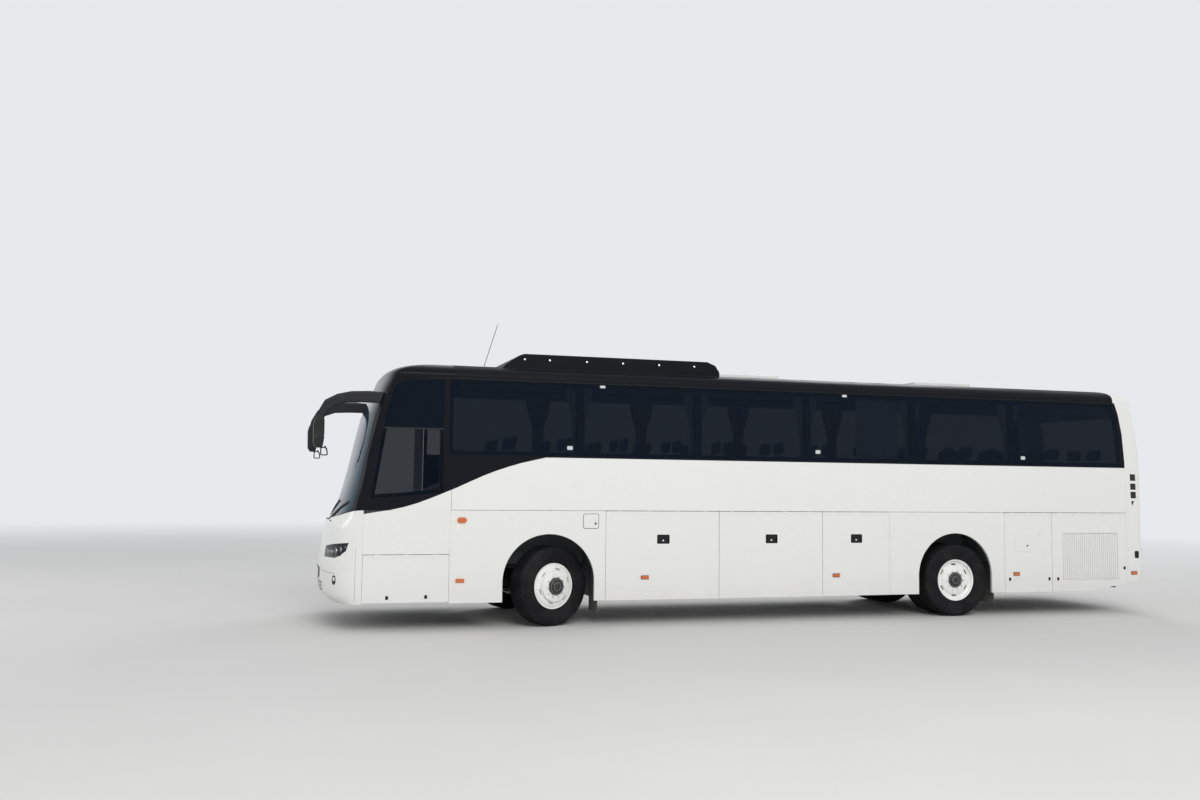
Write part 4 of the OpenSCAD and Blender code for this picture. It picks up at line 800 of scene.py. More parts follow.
WHITE_NODES = ["waist_panels", "service_flap", "luggage_door_1", "luggage_door_2", "luggage_door_3",
    "rear_flap_left", "engine_flap_left", "luggage_door_4", "luggage_door_5", "engine_flap_right", "front_door",
    "mid_door"]
CAP_NODES = ["front_panel", "front_bumper", "rear_bumper", "engine_lid"]
PLAIN_NODES = {
    "side_glass": ("side_glass", "rear_window", "front_door_glass", "mid_door_glass"),
    "dark_steel": ("underframe", "front_axle", "rear_axle", "knuckle_left", "knuckle_right", "front_door_arm",
        "mid_door_arm"),
    "black_plastic": ("hatch_hinges", "wipers", "antenna", "steering_wheel"),
    "cast_iron": ("engine",), "floor_vinyl": ("cabin_floor",), "hold_metal": ("luggage_hold",),
    "flap_rubber": ("mud_flaps",),
}


class BUS_OT_panels(PieceMaker):
    """White panels, flaps and doors of both sides"""
    bl_idname = "bus.panels"
    bl_label = "Side panels"

    def make(self, looks, fittings):
        dress("lower_sides", "swoosh_paint", looks.edge)
        for node in WHITE_NODES:
            dress(node, "white_paint", looks.edge)


class BUS_OT_caps(PieceMaker):
    """Nose, tail, window band and roof"""
    bl_idname = "bus.caps"
    bl_label = "Nose, tail and roof"

    def make(self, looks, fittings):
        for node in CAP_NODES:
            dress(node, "white_paint", looks.edge)
        dress("tail_shell", "tail_paint", looks.edge)
        dress("nose_frame", "black_paint", looks.edge)
        dress("window_bands", "black_paint", 0.0015)
        dress("roof_shell", "roof_paint", 0.0)
        dress("windscreen", "screen_glass", 0.0)


class BUS_OT_plain(PieceMaker):
    """Finishes of the pieces that stay as they are"""
    bl_idname = "bus.plain"
    bl_label = "Running gear and inside"

    def make(self, looks, fittings):
        for look, nodes in PLAIN_NODES.items():
            for node in nodes:
                keep(node, look)


TYRE_STEPS = 120
# Section of a tyre's wall from its bead to the tread's edge: radius above the rim's, and half width there
TYRE_WALL = [(-0.0130, 0.0995), (0.0010, 0.1105), (0.0135, 0.1215), (0.0265, 0.1315), (0.0335, 0.1305),
    (0.0395, 0.1335), (0.0640, 0.1405), (0.0970, 0.1445), (0.1320, 0.1450), (0.1380, 0.1432), (0.1440, 0.1450),
    (0.1640, 0.1430), (0.1860, 0.1375), (0.1990, 0.1310), (0.2065, 0.1235)]
WALL_HEIGHT = 0.2135
TREAD_HALF = 0.120
TWIN_PITCH = 0.33
# Where the faces of the tread's shoulder lie: radius below the tyre's, and distance from its middle
SHOULDER_DROP, SHOULDER_OUT = (0.0015, 0.0172), (0.1165, 0.1345)


def wheel_places():
    """Name, body, centre and outward direction of every tyre, and whether its disc shows."""
    places = []
    for side, sign in (("left", -1), ("right", 1)):
        spin, steer = (Vector(JOINTS[name]["pos_m"]) for name in (f"front_{side}_spin", f"steer_{side}"))
        places.append((f"front_{side}", f"wheel_front_{side}", spin, (spin - steer).normalized(), True))
        pair = Vector(JOINTS[f"rear_{side}_spin"]["pos_m"])
        out = Vector((0, sign, 0))
        places.append((f"rear_{side}_outer", f"wheels_rear_{side}", pair, out, True))
        places.append((f"rear_{side}_inner", f"wheels_rear_{side}", pair - out * TWIN_PITCH, out, False))
    return places


def tyre_profile(grooves):
    """A whole section from bead to bead over the tread; (radius, height)."""
    grow = (TYRE_R - RIM_R) / WALL_HEIGHT
    side = [(RIM_R + r * grow, h) for r, h in TYRE_WALL]
    pitch = 2 * TREAD_HALF / (grooves + 0.9)
    ribs = []
    for k in range(grooves):
        middle = (grooves - 1) / 2 * pitch - k * pitch
        for h, r in ((0.0055, 0), (0.0035, -0.014), (-0.0035, -0.014), (-0.0055, 0)):
            ribs.append((TYRE_R + r - 0.004 * (middle / TREAD_HALF) ** 2, middle + h))
    edge = TYRE_R - 0.0026
    return side + [(edge, 0.114)] + ribs + [(edge, -0.114)] + [(r, -h) for r, h in reversed(side)]


class BUS_OT_wheels(PieceMaker):
    """Tyres with their tread, painted discs and dark hub covers"""
    bl_idname = "bus.wheels"
    bl_label = "Wheels"

    def make(self, looks, fittings):
        made = {}
        for _, body, centre, out, _ in wheel_places():
            lathe(made.setdefault(body, bmesh.new()), tyre_profile(fittings.tread_grooves), facing(centre, out),
                TYRE_STEPS)
        for body, bm in made.items():
            bm.normal_update()
            self.cut_lugs(bm, body)
            node = body.replace("wheel_", "tyre_").replace("wheels_", "tyres_")
            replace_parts(piece(node + "_tread", bm, "tyre_rubber", body, smooth=28), node)
        for side in ("left", "right"):
            for node in (f"rim_front_{side}", f"rims_rear_{side}"):
                dress(node, "wheel_paint", 0.0025, 30)
        for name, body, centre, out, shows in wheel_places():
            if shows:
                self.trim(name, body, [facing(centre, out)], "front" in name)

    def trim(self, name, body, at, front):
        """Hub cover with its rings, the dark slots' hollows, wheel nuts and the valve."""
        base, nose, behind = (0.1785, 0.215, 0.0915) if front else (0.1065, 0.116, 0.0555)
        cover = [(0.1120, base), (0.1125, base + 0.006), (0.1095, base + 0.010), (0.1092, nose - 0.014),
            (0.104, nose - 0.008), (0.084, nose - 0.0065), (0.0805, nose - 0.004), (0.0800, nose + 0.002),
            (0.072, nose + 0.0055), (0.03, nose + 0.008), (0, nose + 0.0085)]
        fitting("hub_cover_" + name, "hub_paint", at, turned(cover, 64), body=body, smooth=35)
        rings = [[(0.0475, 0.0065), (0.0475, 0.0095), (0.0555, 0.0092), (0.0565, 0.006)],
            [(0.0905, -0.0075), (0.0912, -0.0035), (0.0985, -0.0040), (0.0995, -0.0085)]]
        fitting("hub_rings_" + name, "hub_grey", at, *[turned([(r, nose + h) for r, h in ring], 48)
            for ring in rings], body=body, smooth=35)
        hollow = [(0.2055, behind), (0.2055, behind - 0.002), (0.2465, behind - 0.002), (0.2465, behind),
            (0.2055, behind)]
        fitting("slot_shadow_" + name, "rim_shadow", at, turned(hollow, 64), body=body, smooth=0)
        foot = base - 0.0005
        nuts = [at[0] @ Matrix.Rotation(math.tau * k / 10, 4, "Z") for k in range(10)]
        fitting("wheel_nuts_" + name, "wheel_paint", nuts, pin((0.1325, 0, foot), (0.1325, 0, foot + 0.020),
            0.0155, 6), pin((0.1325, 0, foot + 0.019), (0.1325, 0, foot + 0.029), 0.0095, 12), body=body,
            bevel=0.0012)
        fitting("valve_" + name, "bright_metal", [at[0] @ Matrix.Rotation(0.7, 4, "Z")],
            pin((0.268, 0, 0.095), (0.275, 0, 0.155), 0.0045, 10),
            pin((0.2747, 0, 0.150), (0.2765, 0, 0.166), 0.0062, 10), body=body)

    def cut_lugs(self, bm, body):
        """Notches in the shoulders of the tread, at every third step around it."""
        for _, owner, centre, out, _ in wheel_places():
            if owner != body:
                continue
            shoulder = []
            for face in bm.faces:
                off = face.calc_center_median() - centre
                along = off.dot(out)
                across = off - out * along
                sunk, apart = TYRE_R - across.length, abs(along)
                if SHOULDER_DROP[0] < sunk < SHOULDER_DROP[1] and SHOULDER_OUT[0] < apart < SHOULDER_OUT[1]:
                    turn = math.atan2(across.z, across.dot(Vector((0, 0, 1)).cross(out)))
                    if int((turn + math.pi) / math.tau * TYRE_STEPS + 0.5) % 3 == 0:
                        shoulder.append(face)
            bmesh.ops.inset_individual(bm, faces=shoulder, thickness=0.0015, depth=-0.009, use_even_offset=True)


# Side fittings

# Middle of each door's pull pocket: x and side
PULLS = {"luggage_door_1": (1.622, -1), "luggage_door_2": (3.216, -1), "luggage_door_3": (4.535, -1),
    "luggage_door_4": (1.622, 1), "luggage_door_5": (3.216, 1)}
# Latches, keyholes and orange markers: x, height and side
LATCHES = {"service_flap": [(-2.035, 0.408, -1), (-1.55, 0.413, -1)],
    "rear_flap_left": [(7.084, 0.518, -1), (7.778, 0.515, -1)],
    "engine_flap_left": [(7.934, 0.513, -1), (9.151, 0.662, -1)],
    "engine_flap_right": [(7.934, 0.513, 1), (9.151, 0.662, 1)]}
KEYHOLES = {"body": [(0.668, 1.334, -1)], "rear_flap_left": [(7.393, 1.009, -1)],
    "front_door": [(-1.48, 1.16, 1)], "mid_door": [(4.12, 1.16, 1)]}
MARKERS = {"luggage_door_1": [(1.362, 0.619, -1)], "luggage_door_3": [(4.212, 0.611, -1)],
    "rear_flap_left": [(7.2, 0.595, -1)], "luggage_door_4": [(1.362, 0.619, 1)], "mid_door": [(4.3, 0.611, 1)],
    "body": [(9.33, 0.585, -1), (9.33, 0.585, 1), (7.2, 0.595, 1)]}


class BUS_OT_pulls(PieceMaker):
    """Pull handles in their pockets, with a lock in each"""
    bl_idname = "bus.pulls"
    bl_label = "Pull handles"

    def make(self, looks, fittings):
        width, height, depth, wall, lip = fittings.handle_width, 0.104, 0.018, 0.002, 0.001
        x, y = width / 2, height / 2
        pocket = [tile(width + 0.018, height + 0.018, 0.002, 0.012, ring=0.011),
            tile(width, height, 0.002, 0.01, move=(0, 0, -depth)),
            bar((-x, -y, -depth), (-x + wall, y, lip)), bar((x - wall, -y, -depth), (x, y, lip)),
            bar((-x, -y, -depth), (x, -y + wall, lip)), bar((-x, y - wall, -depth), (x, y, lip)),
            tile(width - 0.012, 0.03, 0.006, 0.008, move=(0, 0.032, -0.006))]
        lock = [pin((0, -0.018, -depth), (0, -0.018, -0.006), 0.0125, 24),
            bar((-0.0015, -0.026, -0.0065), (0.0015, -0.010, -0.0045))]
        for node, (middle, side) in PULLS.items():
            at = [side_frame(middle, PULL_Z, side)]
            fitting(f"{node}_handle", "black_plastic", at, *pocket, body=node, bevel=0.0012)
            fitting(f"{node}_handle_lock", "bright_metal", at, *lock, body=node, bevel=0.0005)


class BUS_OT_side_fittings(PieceMaker):
    """Latches, keyholes, markers, filler flap and paint seams of the sides"""
    bl_idname = "bus.side_fittings"
    bl_label = "Side fittings"

    def make(self, looks, fittings):
        for body, places in LATCHES.items():
            fitting(f"{body}_latches", "black_plastic", [side_frame(*p) for p in places],
                tile(0.036, 0.046, 0.0035, 0.006), tile(0.012, 0.028, 0.002, 0.003, move=(0, 0, 0.0035)),
                body=body, bevel=0.0008)
        for body, places in KEYHOLES.items():
            fitting(f"{body}_keyholes", "hub_paint", [side_frame(*p) for p in places],
                pin((0, 0, 0), (0, 0, 0.007), 0.0145, 24),
                bar((-0.0018, -0.007, 0.007), (0.0018, 0.007, 0.0082)), body=body, bevel=0.0005)
        for body, places in MARKERS.items():
            at = [side_frame(*p) if p[0] < TAIL_SEAM_X else at_tail_corner(*p) for p in places]
            fitting(f"{body}_marker", "orange_lens", at, tile(0.100, 0.040, 0.012, 0.007, move=(0, 0, 0.003)),
                body=body, bevel=0.003)
            fitting(f"{body}_marker_rim", "black_plastic", at, tile(0.112, 0.052, 0.005, 0.008), body=body,
                bevel=0.001)
        dress("marker_lamps", "orange_lens", 0.004)
        filler = [side_frame(0.606, 1.365)]
        fitting("filler_flap", "white_paint", filler, tile(0.205, 0.185, 0.0026, 0.024, 6), bevel=0.0012)
        # Painted shade: a thin dark ring round the flap's edge stands in for the shade in the gap around it
        fitting("filler_flap_gap_shade", "rubber_and_shade_lines", filler, tile(0.217, 0.197, 0.001, 0.028, 6, ring=0.008))
        fitting("rear_flap_field", "white_paint", [side_frame(7.306, 1.052)],
            tile(0.261, 0.264, 0.005, 0.045, 6), body="rear_flap_left", bevel=0.004)
        self.seams()

    def seams(self):
        """Thin dark seams of the skin that have no gap of their own, and what covers the gap under the band."""
        bm = bmesh.new()
        for side in SIDES:
            middle = side * 1.25
            block(bm, (middle - 0.00176, 0.005, -0.001), (middle + 0.00176, 0.26, 0.0004), side_sheet(side))
        for side in SIDES:
            corner = [bus(-2.43, side * BESIDE_Y, z / 100) for z in range(36, 108, 6)]
            skin_line(bm, ["front_panel", "front_bumper"], corner, (0, -side, 0), 0.0013)
        piece("skin_seams", bm, "rubber_and_shade_lines", smooth=0)
        top = [(x, swoosh_z(x) - SEAM_Z - 0.001) for x in (-1.952, -1.985, -2.02, -2.055, -2.068)]
        fitting("waist_tip", "white_paint", [side_sheet()],
            slab([(-2.072, 0.0), (-1.952, 0.0)] + top, 0.0068, move=(0, 0, -0.006)),
            bar((-1.954, -0.002, -0.004), (-1.252, 0.005, 0.0007)), bevel=0.0008)
        fitting("band_tip", "black_paint", [side_sheet()], bar((-2.3425, -0.004, -0.004),
            (-2.0725, 0.005, 0.0008)), bevel=0.0004)


def swoosh_z(x):
    """Height of the border between white and black at the front of the driver's side; x may be a Signal."""
    u = (x - NOSE_SEAM_X) / 0.552
    return 1.448 + u * 0.106 + (u * u * u - u * u) * 0.0524


# Outline of the driver's pane on the upper side: x from the nose seam, height above the side's seam
DRIVER_PANE = [(0.083, 0.150), (0.089, 0.230), (0.227, 1.080), (0.283, 1.360), (0.355, 1.560), (0.445, 1.632),
    (0.545, 1.660), (0.985, 1.672), (0.985, 0.225), (0.545, 0.182)]


class BUS_OT_window_fittings(PieceMaker):
    """Seals, divider, blank stickers and lamps of the window band"""
    bl_idname = "bus.window_fittings"
    bl_label = "Window fittings"

    def make(self, looks, fittings):
        sheet = side_sheet()
        seals, drips = bmesh.new(), bmesh.new()
        pane = [(NOSE_SEAM_X + x, z) for x, z in reversed(DRIVER_PANE)]
        fitting("driver_pane_rim", "trim_plastic", [sheet], slab(pane, 0.0012, ring=0.007), smooth=0)
        fitting("driver_pane_divider", "black_plastic", [sheet], bar((-2.118, 1.026, 0.0002),
            (-1.362, 1.046, 0.004)), bevel=0.0008)
        shade = [(-2.115, 1.05), (-1.366, 1.05), (-1.366, 1.664), (-1.8, 1.652), (-1.985, 1.556), (-2.06, 1.36)]
        fitting("driver_shade", "black_plastic", [sheet], slab(shade, 0.002, move=(0, 0, -0.05)), smooth=0)
        gutter = CANT_Z - SEAM_Z
        for side in SIDES:
            for x in PILLARS:
                u = -side * x
                block(seals, (u - 0.005, 0.73, -0.006), (u + 0.005, 1.67, -0.001), side_sheet(side))
            a, b = sorted((side * 1.55, -side * 9.02))
            block(drips, (a, gutter - 0.012, -0.001), (b, gutter - 0.004, 0.006), side_sheet(side))
        piece("pane_seals", seals, "rubber_and_shade_lines", smooth=0)
        labels = [side_frame(x, z, -1, 0.0002) for x, z in ((0.309, 2.326), (3.943, 2.343), (7.36, 2.318))]
        fitting("blank_stickers", "label_blank", labels, tile(0.075, 0.05, 0.0004, 0.006), smooth=0)
        lamps = [side_frame(x, TOP_LAMP_Z, side) for side in SIDES for x in (0.754, 4.372)]
        fitting("top_lamps", "clear_lens", lamps, tile(0.076, 0.034, 0.008, 0.014, move=(0, 0, 0.003)),
            bevel=0.002)
        fitting("top_lamp_rims", "black_plastic", lamps, tile(0.096, 0.05, 0.004, 0.016), bevel=0.001)
        piece("drip_rails", drips, "black_plastic", bevel=0.0018)


# Nose


# Across, height and radius of the round lamps in each headlamp
HEADLAMPS = [(0.685, 0.958, 0.052), (0.800, 0.958, 0.047), (0.912, 0.962, 0.052), (1.025, 0.980, 0.052),
    (1.125, 1.005, 0.042), (1.195, 1.035, 0.024)]


class BUS_OT_headlamps(PieceMaker):
    """Headlamps with round reflectors behind a tinted cover"""
    bl_idname = "bus.headlamps"
    bl_label = "Headlamps"

    def make(self, looks, fittings):
        dress("headlamps", "lamp_glass", 0.0)
        bowls, rings, strips = (bmesh.new() for _ in range(3))
        for side in SIDES:
            for y, z, r in HEADLAMPS:
                spot, normal = on_skin(["headlamps"], bus(AHEAD_X, side * y, z), (1, 0, 0))
                out = (Vector((-1, 0, 0)) * 0.65 + normal * 0.35).normalized()
                at = facing(spot - normal * 0.013, out)
                lathe(rings, [(r, -0.012), (r, 0.0), (r - 0.002, 0.003), (r - 0.006, 0.003),
                    (r - 0.008, -0.002), (r - 0.009, -0.012)], at, 36)
                lathe(bowls, [(r - 0.0085, -0.002), (r * 0.6, -0.014), (r * 0.3, -0.019), (r * 0.28, -0.008),
                    (r * 0.15, -0.003), (0, -0.002)], at, 36)
            starts = [bus(AHEAD_X, side * y, 0.905 + max(0, y - 0.95) * 0.16) for y in
                (0.64, 0.74, 0.84, 0.94, 1.02, 1.08)]
            inner = [p - n * 0.012 for p, n in (on_skin(["headlamps"], s, (1, 0, 0)) for s in starts)]
            for a, b in zip(inner, inner[1:]):
                rod(strips, a, b, 0.006, 10)
        piece("headlamp_rings", rings, "bright_metal")
        piece("headlamp_bowls", bowls, "clear_lens")
        piece("headlamp_light_strips", strips, "clear_lens")
        back = merged("headlamps")
        bmesh.ops.translate(back, verts=back.verts[:], vec=(0.026, 0, 0))
        piece("headlamp_backs", back, "lamp_housing")


class BUS_OT_nose_fittings(PieceMaker):
    """Painted shade line along the bumper's crease, blank plate, fog lamp slots, intake mesh and washer jets"""
    bl_idname = "bus.nose_fittings"
    bl_label = "Nose fittings"

    def make(self, looks, fittings):
        bumper = "front_bumper"
        # Painted shade: thin dark beads along the bumper's crease stand in for the shade in the fold
        creases = [[bus(AHEAD_X, side * y, 0.712 - 0.018 * (y - 0.62)) for y in
            (0.62, 0.7, 0.78, 0.86, 0.93, 1.0, 1.06, 1.12)] for side in SIDES]
        beads("nose_crease_shade", *[([bumper], starts, (1, 0, 0), 0.0022) for starts in creases])
        fogs = [from_ahead(bumper, side * 1.075, 0.622) for side in SIDES]
        fitting("fog_lamp_slots", "black_plastic", fogs, tile(0.075, 0.115, 0.005, 0.034, 6, ring=0.009),
            tile(0.066, 0.106, 0.0015, 0.031, 6), bevel=0.0015)
        lens = [(0.027, 0.001), (0.027, 0.004), (0.018, 0.0075), (0, 0.009)]
        fitting("fog_lamp_lenses", "clear_lens", fogs, turned(lens, 32, (0, 0.01, 0)))
        number = [from_ahead(bumper, 0, 0.655)]
        fitting("plate_holder_front", "black_plastic", number, tile(0.54, 0.128, 0.008, 0.008), bevel=0.002)
        fitting("plate_front", "plate_blank", number, tile(0.52, 0.11, 0.002, 0.006, move=(0, 0, 0.008)),
            bevel=0.0006)
        inside = on_skin([bumper], bus(AHEAD_X, 0, 0.62), (1, 0, 0))[0].x + 0.066
        fitting("intake_mesh", "mesh_black", [NOWHERE], bar((inside, -0.62, 0.43 + LIFT),
            (inside + 0.004, 0.62, 0.575 + LIFT)), smooth=0)
        cover = [(0.03, -0.001), (0.03, 0.002), (0.027, 0.003), (0, 0.0034)]
        fitting("towing_covers", "white_paint", [from_ahead(bumper, s * 0.42, 0.6) for s in SIDES],
            turned(cover, 32))
        jet = [(0.012, -0.002), (0.012, 0.006), (0.007, 0.011), (0, 0.012)]
        fitting("washer_jets", "black_plastic", [from_ahead("front_panel", s * 0.45, 1.335) for s in SIDES],
            turned(jet, 20))


class BUS_OT_mirrors(PieceMaker):
    """Mirrors with their glass, and the edge and blinds of the windscreen's dark band"""
    bl_idname = "bus.mirrors"
    bl_label = "Mirrors and blinds"

    def make(self, looks, fittings):
        self.moulded_mirrors()
        glass, rim = bmesh.new(), bmesh.new()
        for side in SIDES:
            for z, height in ((2.53, 0.19), (2.355, 0.11)):
                at = facing(*on_skin(["mirrors"], bus(-2.2, side * 1.112, z), (-1, 0, 0)))
                plate(rim, oblong(0.178, height), 0.003, at, 0.02, ring=0.006)
                plate(glass, oblong(0.168, height - 0.01), 0.0016, at, 0.017)
        piece("mirror_glass", glass, "mirror_silver", smooth=0)
        piece("mirror_glass_rims", rim, "rubber_and_shade_lines", bevel=0.0008)
        starts = [bus(AHEAD_X, y / 20, BLIND_Z) for y in range(-21, 22)]
        beads("screen_band_edge", (["windscreen"], starts, (1, 0, 0), 0.0016))
        fitting("screen_shade_rolls", "trim_plastic", [Matrix.Translation(bus(0, 0, 0))],
            *[pin((-2.22, y, BLIND_Z), (-2.22, y + 0.9, BLIND_Z), 0.018) for y in (-1.02, 0.12)])

    def moulded_mirrors(self):
        """Arms and heads with rounded edges; the guard loops below them keep their own thin ones."""
        guards_top = bus(0, 0, 2.268)
        for name, above in (("mirrors_skin", True), ("mirror_guards", False)):
            bm = merged("mirrors")
            bmesh.ops.bisect_plane(bm, geom=bm.verts[:] + bm.edges[:] + bm.faces[:], plane_co=guards_top,
                plane_no=(0, 0, 1), clear_inner=above, clear_outer=not above)
            bmesh.ops.holes_fill(bm, edges=[e for e in bm.edges if e.is_boundary])
            obj = piece(name, bm, "black_plastic", smooth=30, bevel=0.0 if above else 0.003)
            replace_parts(obj, "mirrors")
            if above:
                obj.data.polygons.foreach_set("use_smooth", [True] * len(obj.data.polygons))
                cells = obj.modifiers.new("Moulding", "REMESH")
                cells.mode, cells.voxel_size, cells.use_smooth_shade = "VOXEL", 0.008, True
                even = obj.modifiers.new("Rounding", "SMOOTH")
                even.factor, even.iterations = 0.6, 9


# Tail


class BUS_OT_tail_lamps(PieceMaker):
    """Tail lamps: red lenses with round lamps behind them"""
    bl_idname = "bus.tail_lamps"
    bl_label = "Tail lamps"

    def make(self, looks, fittings):
        dress("tail_lamps", "red_lens", 0.0)
        rim = [(0.050, -0.004), (0.050, 0.004), (0.047, 0.006), (0.0445, 0.004), (0.0445, -0.002)]
        lens = [(0.0445, -0.001), (0.0445, 0.004), (0.038, 0.0075), (0.02, 0.0095), (0, 0.010)]
        for label, z, look in (("stop", 1.40, "red_lens"), ("turn", 1.29, "orange_lens"),
                ("reverse", 1.18, "clear_lens"), ("fog", 1.075, "red_lens")):
            at = [from_behind("tail_lamps", side * 1.092, z) for side in SIDES]
            fitting("tail_lamp_" + label, look, at, turned(lens, 40))
            fitting("tail_lamp_rim_" + label, "bright_metal", at, turned(rim, 40))


class BUS_OT_tail_fittings(PieceMaker):
    """Reflectors, plates, top lamps, the lid's handles and slats, a painted shade line along the bumper's crease
    and the exhaust pipe
    """
    bl_idname = "bus.tail_fittings"
    bl_label = "Tail fittings"

    def make(self, looks, fittings):
        lid = {"body": "engine_lid"}
        fitting("corner_reflectors", "lamp_housing", [at_tail_corner(9.385, 0.865, side) for side in SIDES],
            tile(0.075, 0.11, 0.006, 0.02), bevel=0.002)
        fitting("top_tail_lamps", "red_lens", [from_behind("tail_shell", side * 0.98, 3.06) for side in SIDES],
            tile(0.085, 0.032, 0.008, 0.012), bevel=0.002)
        fitting("high_brake_lamp", "red_lens", [from_behind("tail_shell", 0, 3.09)],
            tile(0.36, 0.026, 0.008, 0.01), bevel=0.002)
        number, handle = [from_behind("engine_lid", 0, 1.20)], [from_behind("engine_lid", 0, 1.045)]
        fitting("plate_holder_rear", "black_plastic", number, tile(0.56, 0.15, 0.007, 0.012), bevel=0.002,
            **lid)
        fitting("plate_rear", "plate_blank", number, tile(0.52, 0.11, 0.002, 0.006, move=(0, 0, 0.007)),
            bevel=0.0006, **lid)
        fitting("lid_handle", "black_plastic", handle, tile(0.20, 0.07, 0.004, 0.016), bevel=0.0012, **lid)
        fitting("lid_handle_grip", "hub_paint", handle, tile(0.15, 0.024, 0.006, 0.009, move=(0, 0.008, 0.004)),
            bevel=0.002, **lid)
        fitting("bumper_reflectors", "red_lens", [from_behind("rear_bumper", side, 0.60) for side in SIDES],
            tile(0.11, 0.045, 0.007, 0.01), bevel=0.002)
        # Painted shade: thin dark beads along the rear bumper's crease stand in for the shade in the fold
        starts = [bus(BEHIND_X, y / 10, 0.69) for y in range(-11, 12)]
        beads("rear_bumper_crease", (["rear_bumper"], starts, (-1, 0, 0), 0.002))
        fitting("lid_slats", "white_paint", [from_behind("engine_lid", 0, 1.36 + k * 0.045) for k in range(9)],
            tile(0.92, 0.018, 0.006, 0.008, 3), bevel=0.002, **lid)
        fitting("exhaust_pipe", "dark_steel", [Matrix.Translation(bus(0, 0, 0))],
            pin((9.05, -0.72, 0.40), (9.44, -0.72, 0.36), 0.052, 32), bevel=0.002)


# Roof


class BUS_OT_roof_fittings(PieceMaker):
    """Roof unit with its fasteners and fans, and the hatches"""
    bl_idname = "bus.roof_fittings"
    bl_label = "Roof fittings"

    def make(self, looks, fittings):
        dress("air_conditioner", "roof_paint", 0.012)
        dress("roof_hatches", "vent_white", 0.015)
        low, high = (Vector(c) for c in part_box("air_conditioner"))
        clip = [(0.014, -0.001), (0.014, 0.004), (0.009, 0.007), (0, 0.0075)]
        height = high.z - 0.075
        clips = [facing(*on_skin(["air_conditioner"], (x + ZERO_X, side * BESIDE_Y, height), (0, -side, 0)))
            for side in SIDES for x in (-0.264, 0.081, 0.6, 1.115, 1.641, 2.162)]
        fitting("roof_unit_clips", "bright_metal", clips, turned(clip, 16))
        fans = [self.on_top("air_conditioner", (low.x + (high.x - low.x) * share, side * 0.42, high.z + 1))
            for share in (0.3, 0.5, 0.7) for side in SIDES]
        rim = [(0.205, -0.001), (0.205, 0.0045), (0.182, 0.0045), (0.178, -0.001)]
        fitting("fan_rims", "black_plastic", fans, turned(rim, 48))
        guard = [(0.18, 0.0005), (0.18, 0.0015), (0.05, 0.0035), (0, 0.0035)]
        fitting("fan_guards", "mesh_black", fans, turned(guard, 32))
        seams = [(0, 0, 0.002)] + [(side * 1.02, 9.0, 0.003) for side in SIDES]
        beads("roof_seams", *[(["roof_shell"], [bus(x, y, ABOVE_Z) for x in (-1.2, end)], (0, 0, -1), radius)
            for y, end, radius in seams])
        puck = [(0.055, -0.001), (0.055, 0.012), (0.045, 0.03), (0.02, 0.04), (0, 0.041)]
        spot = self.on_top("roof_shell", bus(3.1, 0.3, ABOVE_Z))
        fitting("aerial_puck", "black_plastic", [spot], turned(puck, 32))

    def on_top(self, node, start):
        return facing(*on_skin([node], start, (0, 0, -1)), (0, 1, 0))


# Seats and curtains

FIRST_ROW_X, ROWS, ROW_PITCH = -0.65, 13, 0.78
# Rows that the middle door leaves no room for, on the right
DOOR_ROWS = (6, 7)
SEAT_W, SEAT_GAP, AISLE_HALF = 0.44, 0.02, 0.19
FLOOR_Z, DRIVER_FLOOR_Z = 1.3, 0.98
DRIVER_X, DRIVER_Y = -2.06, -0.8


def seat_places(side):
    """Matrices of every seat on a side; each is drawn with its middle at y = 0 and the floor at z = 0."""
    places = []
    for k in range(ROWS):
        if side > 0 and k in DOOR_ROWS:
            continue
        for n in range(2):
            y = AISLE_HALF + SEAT_W / 2 + n * (SEAT_W + SEAT_GAP)
            places.append(Matrix.Translation(bus(FIRST_ROW_X + k * ROW_PITCH, side * y, FLOOR_Z)))
    return places


def back_lean(x, z):
    """Leans and thickens a back drawn 90 mm thick from x = 0, z above the floor."""
    rise = (z - 0.46) / 0.69
    front = 0.178 + 0.062 * rise
    deep = 0.034 + 0.042 * max(0.0, rise)
    return front + x / 0.09 * deep


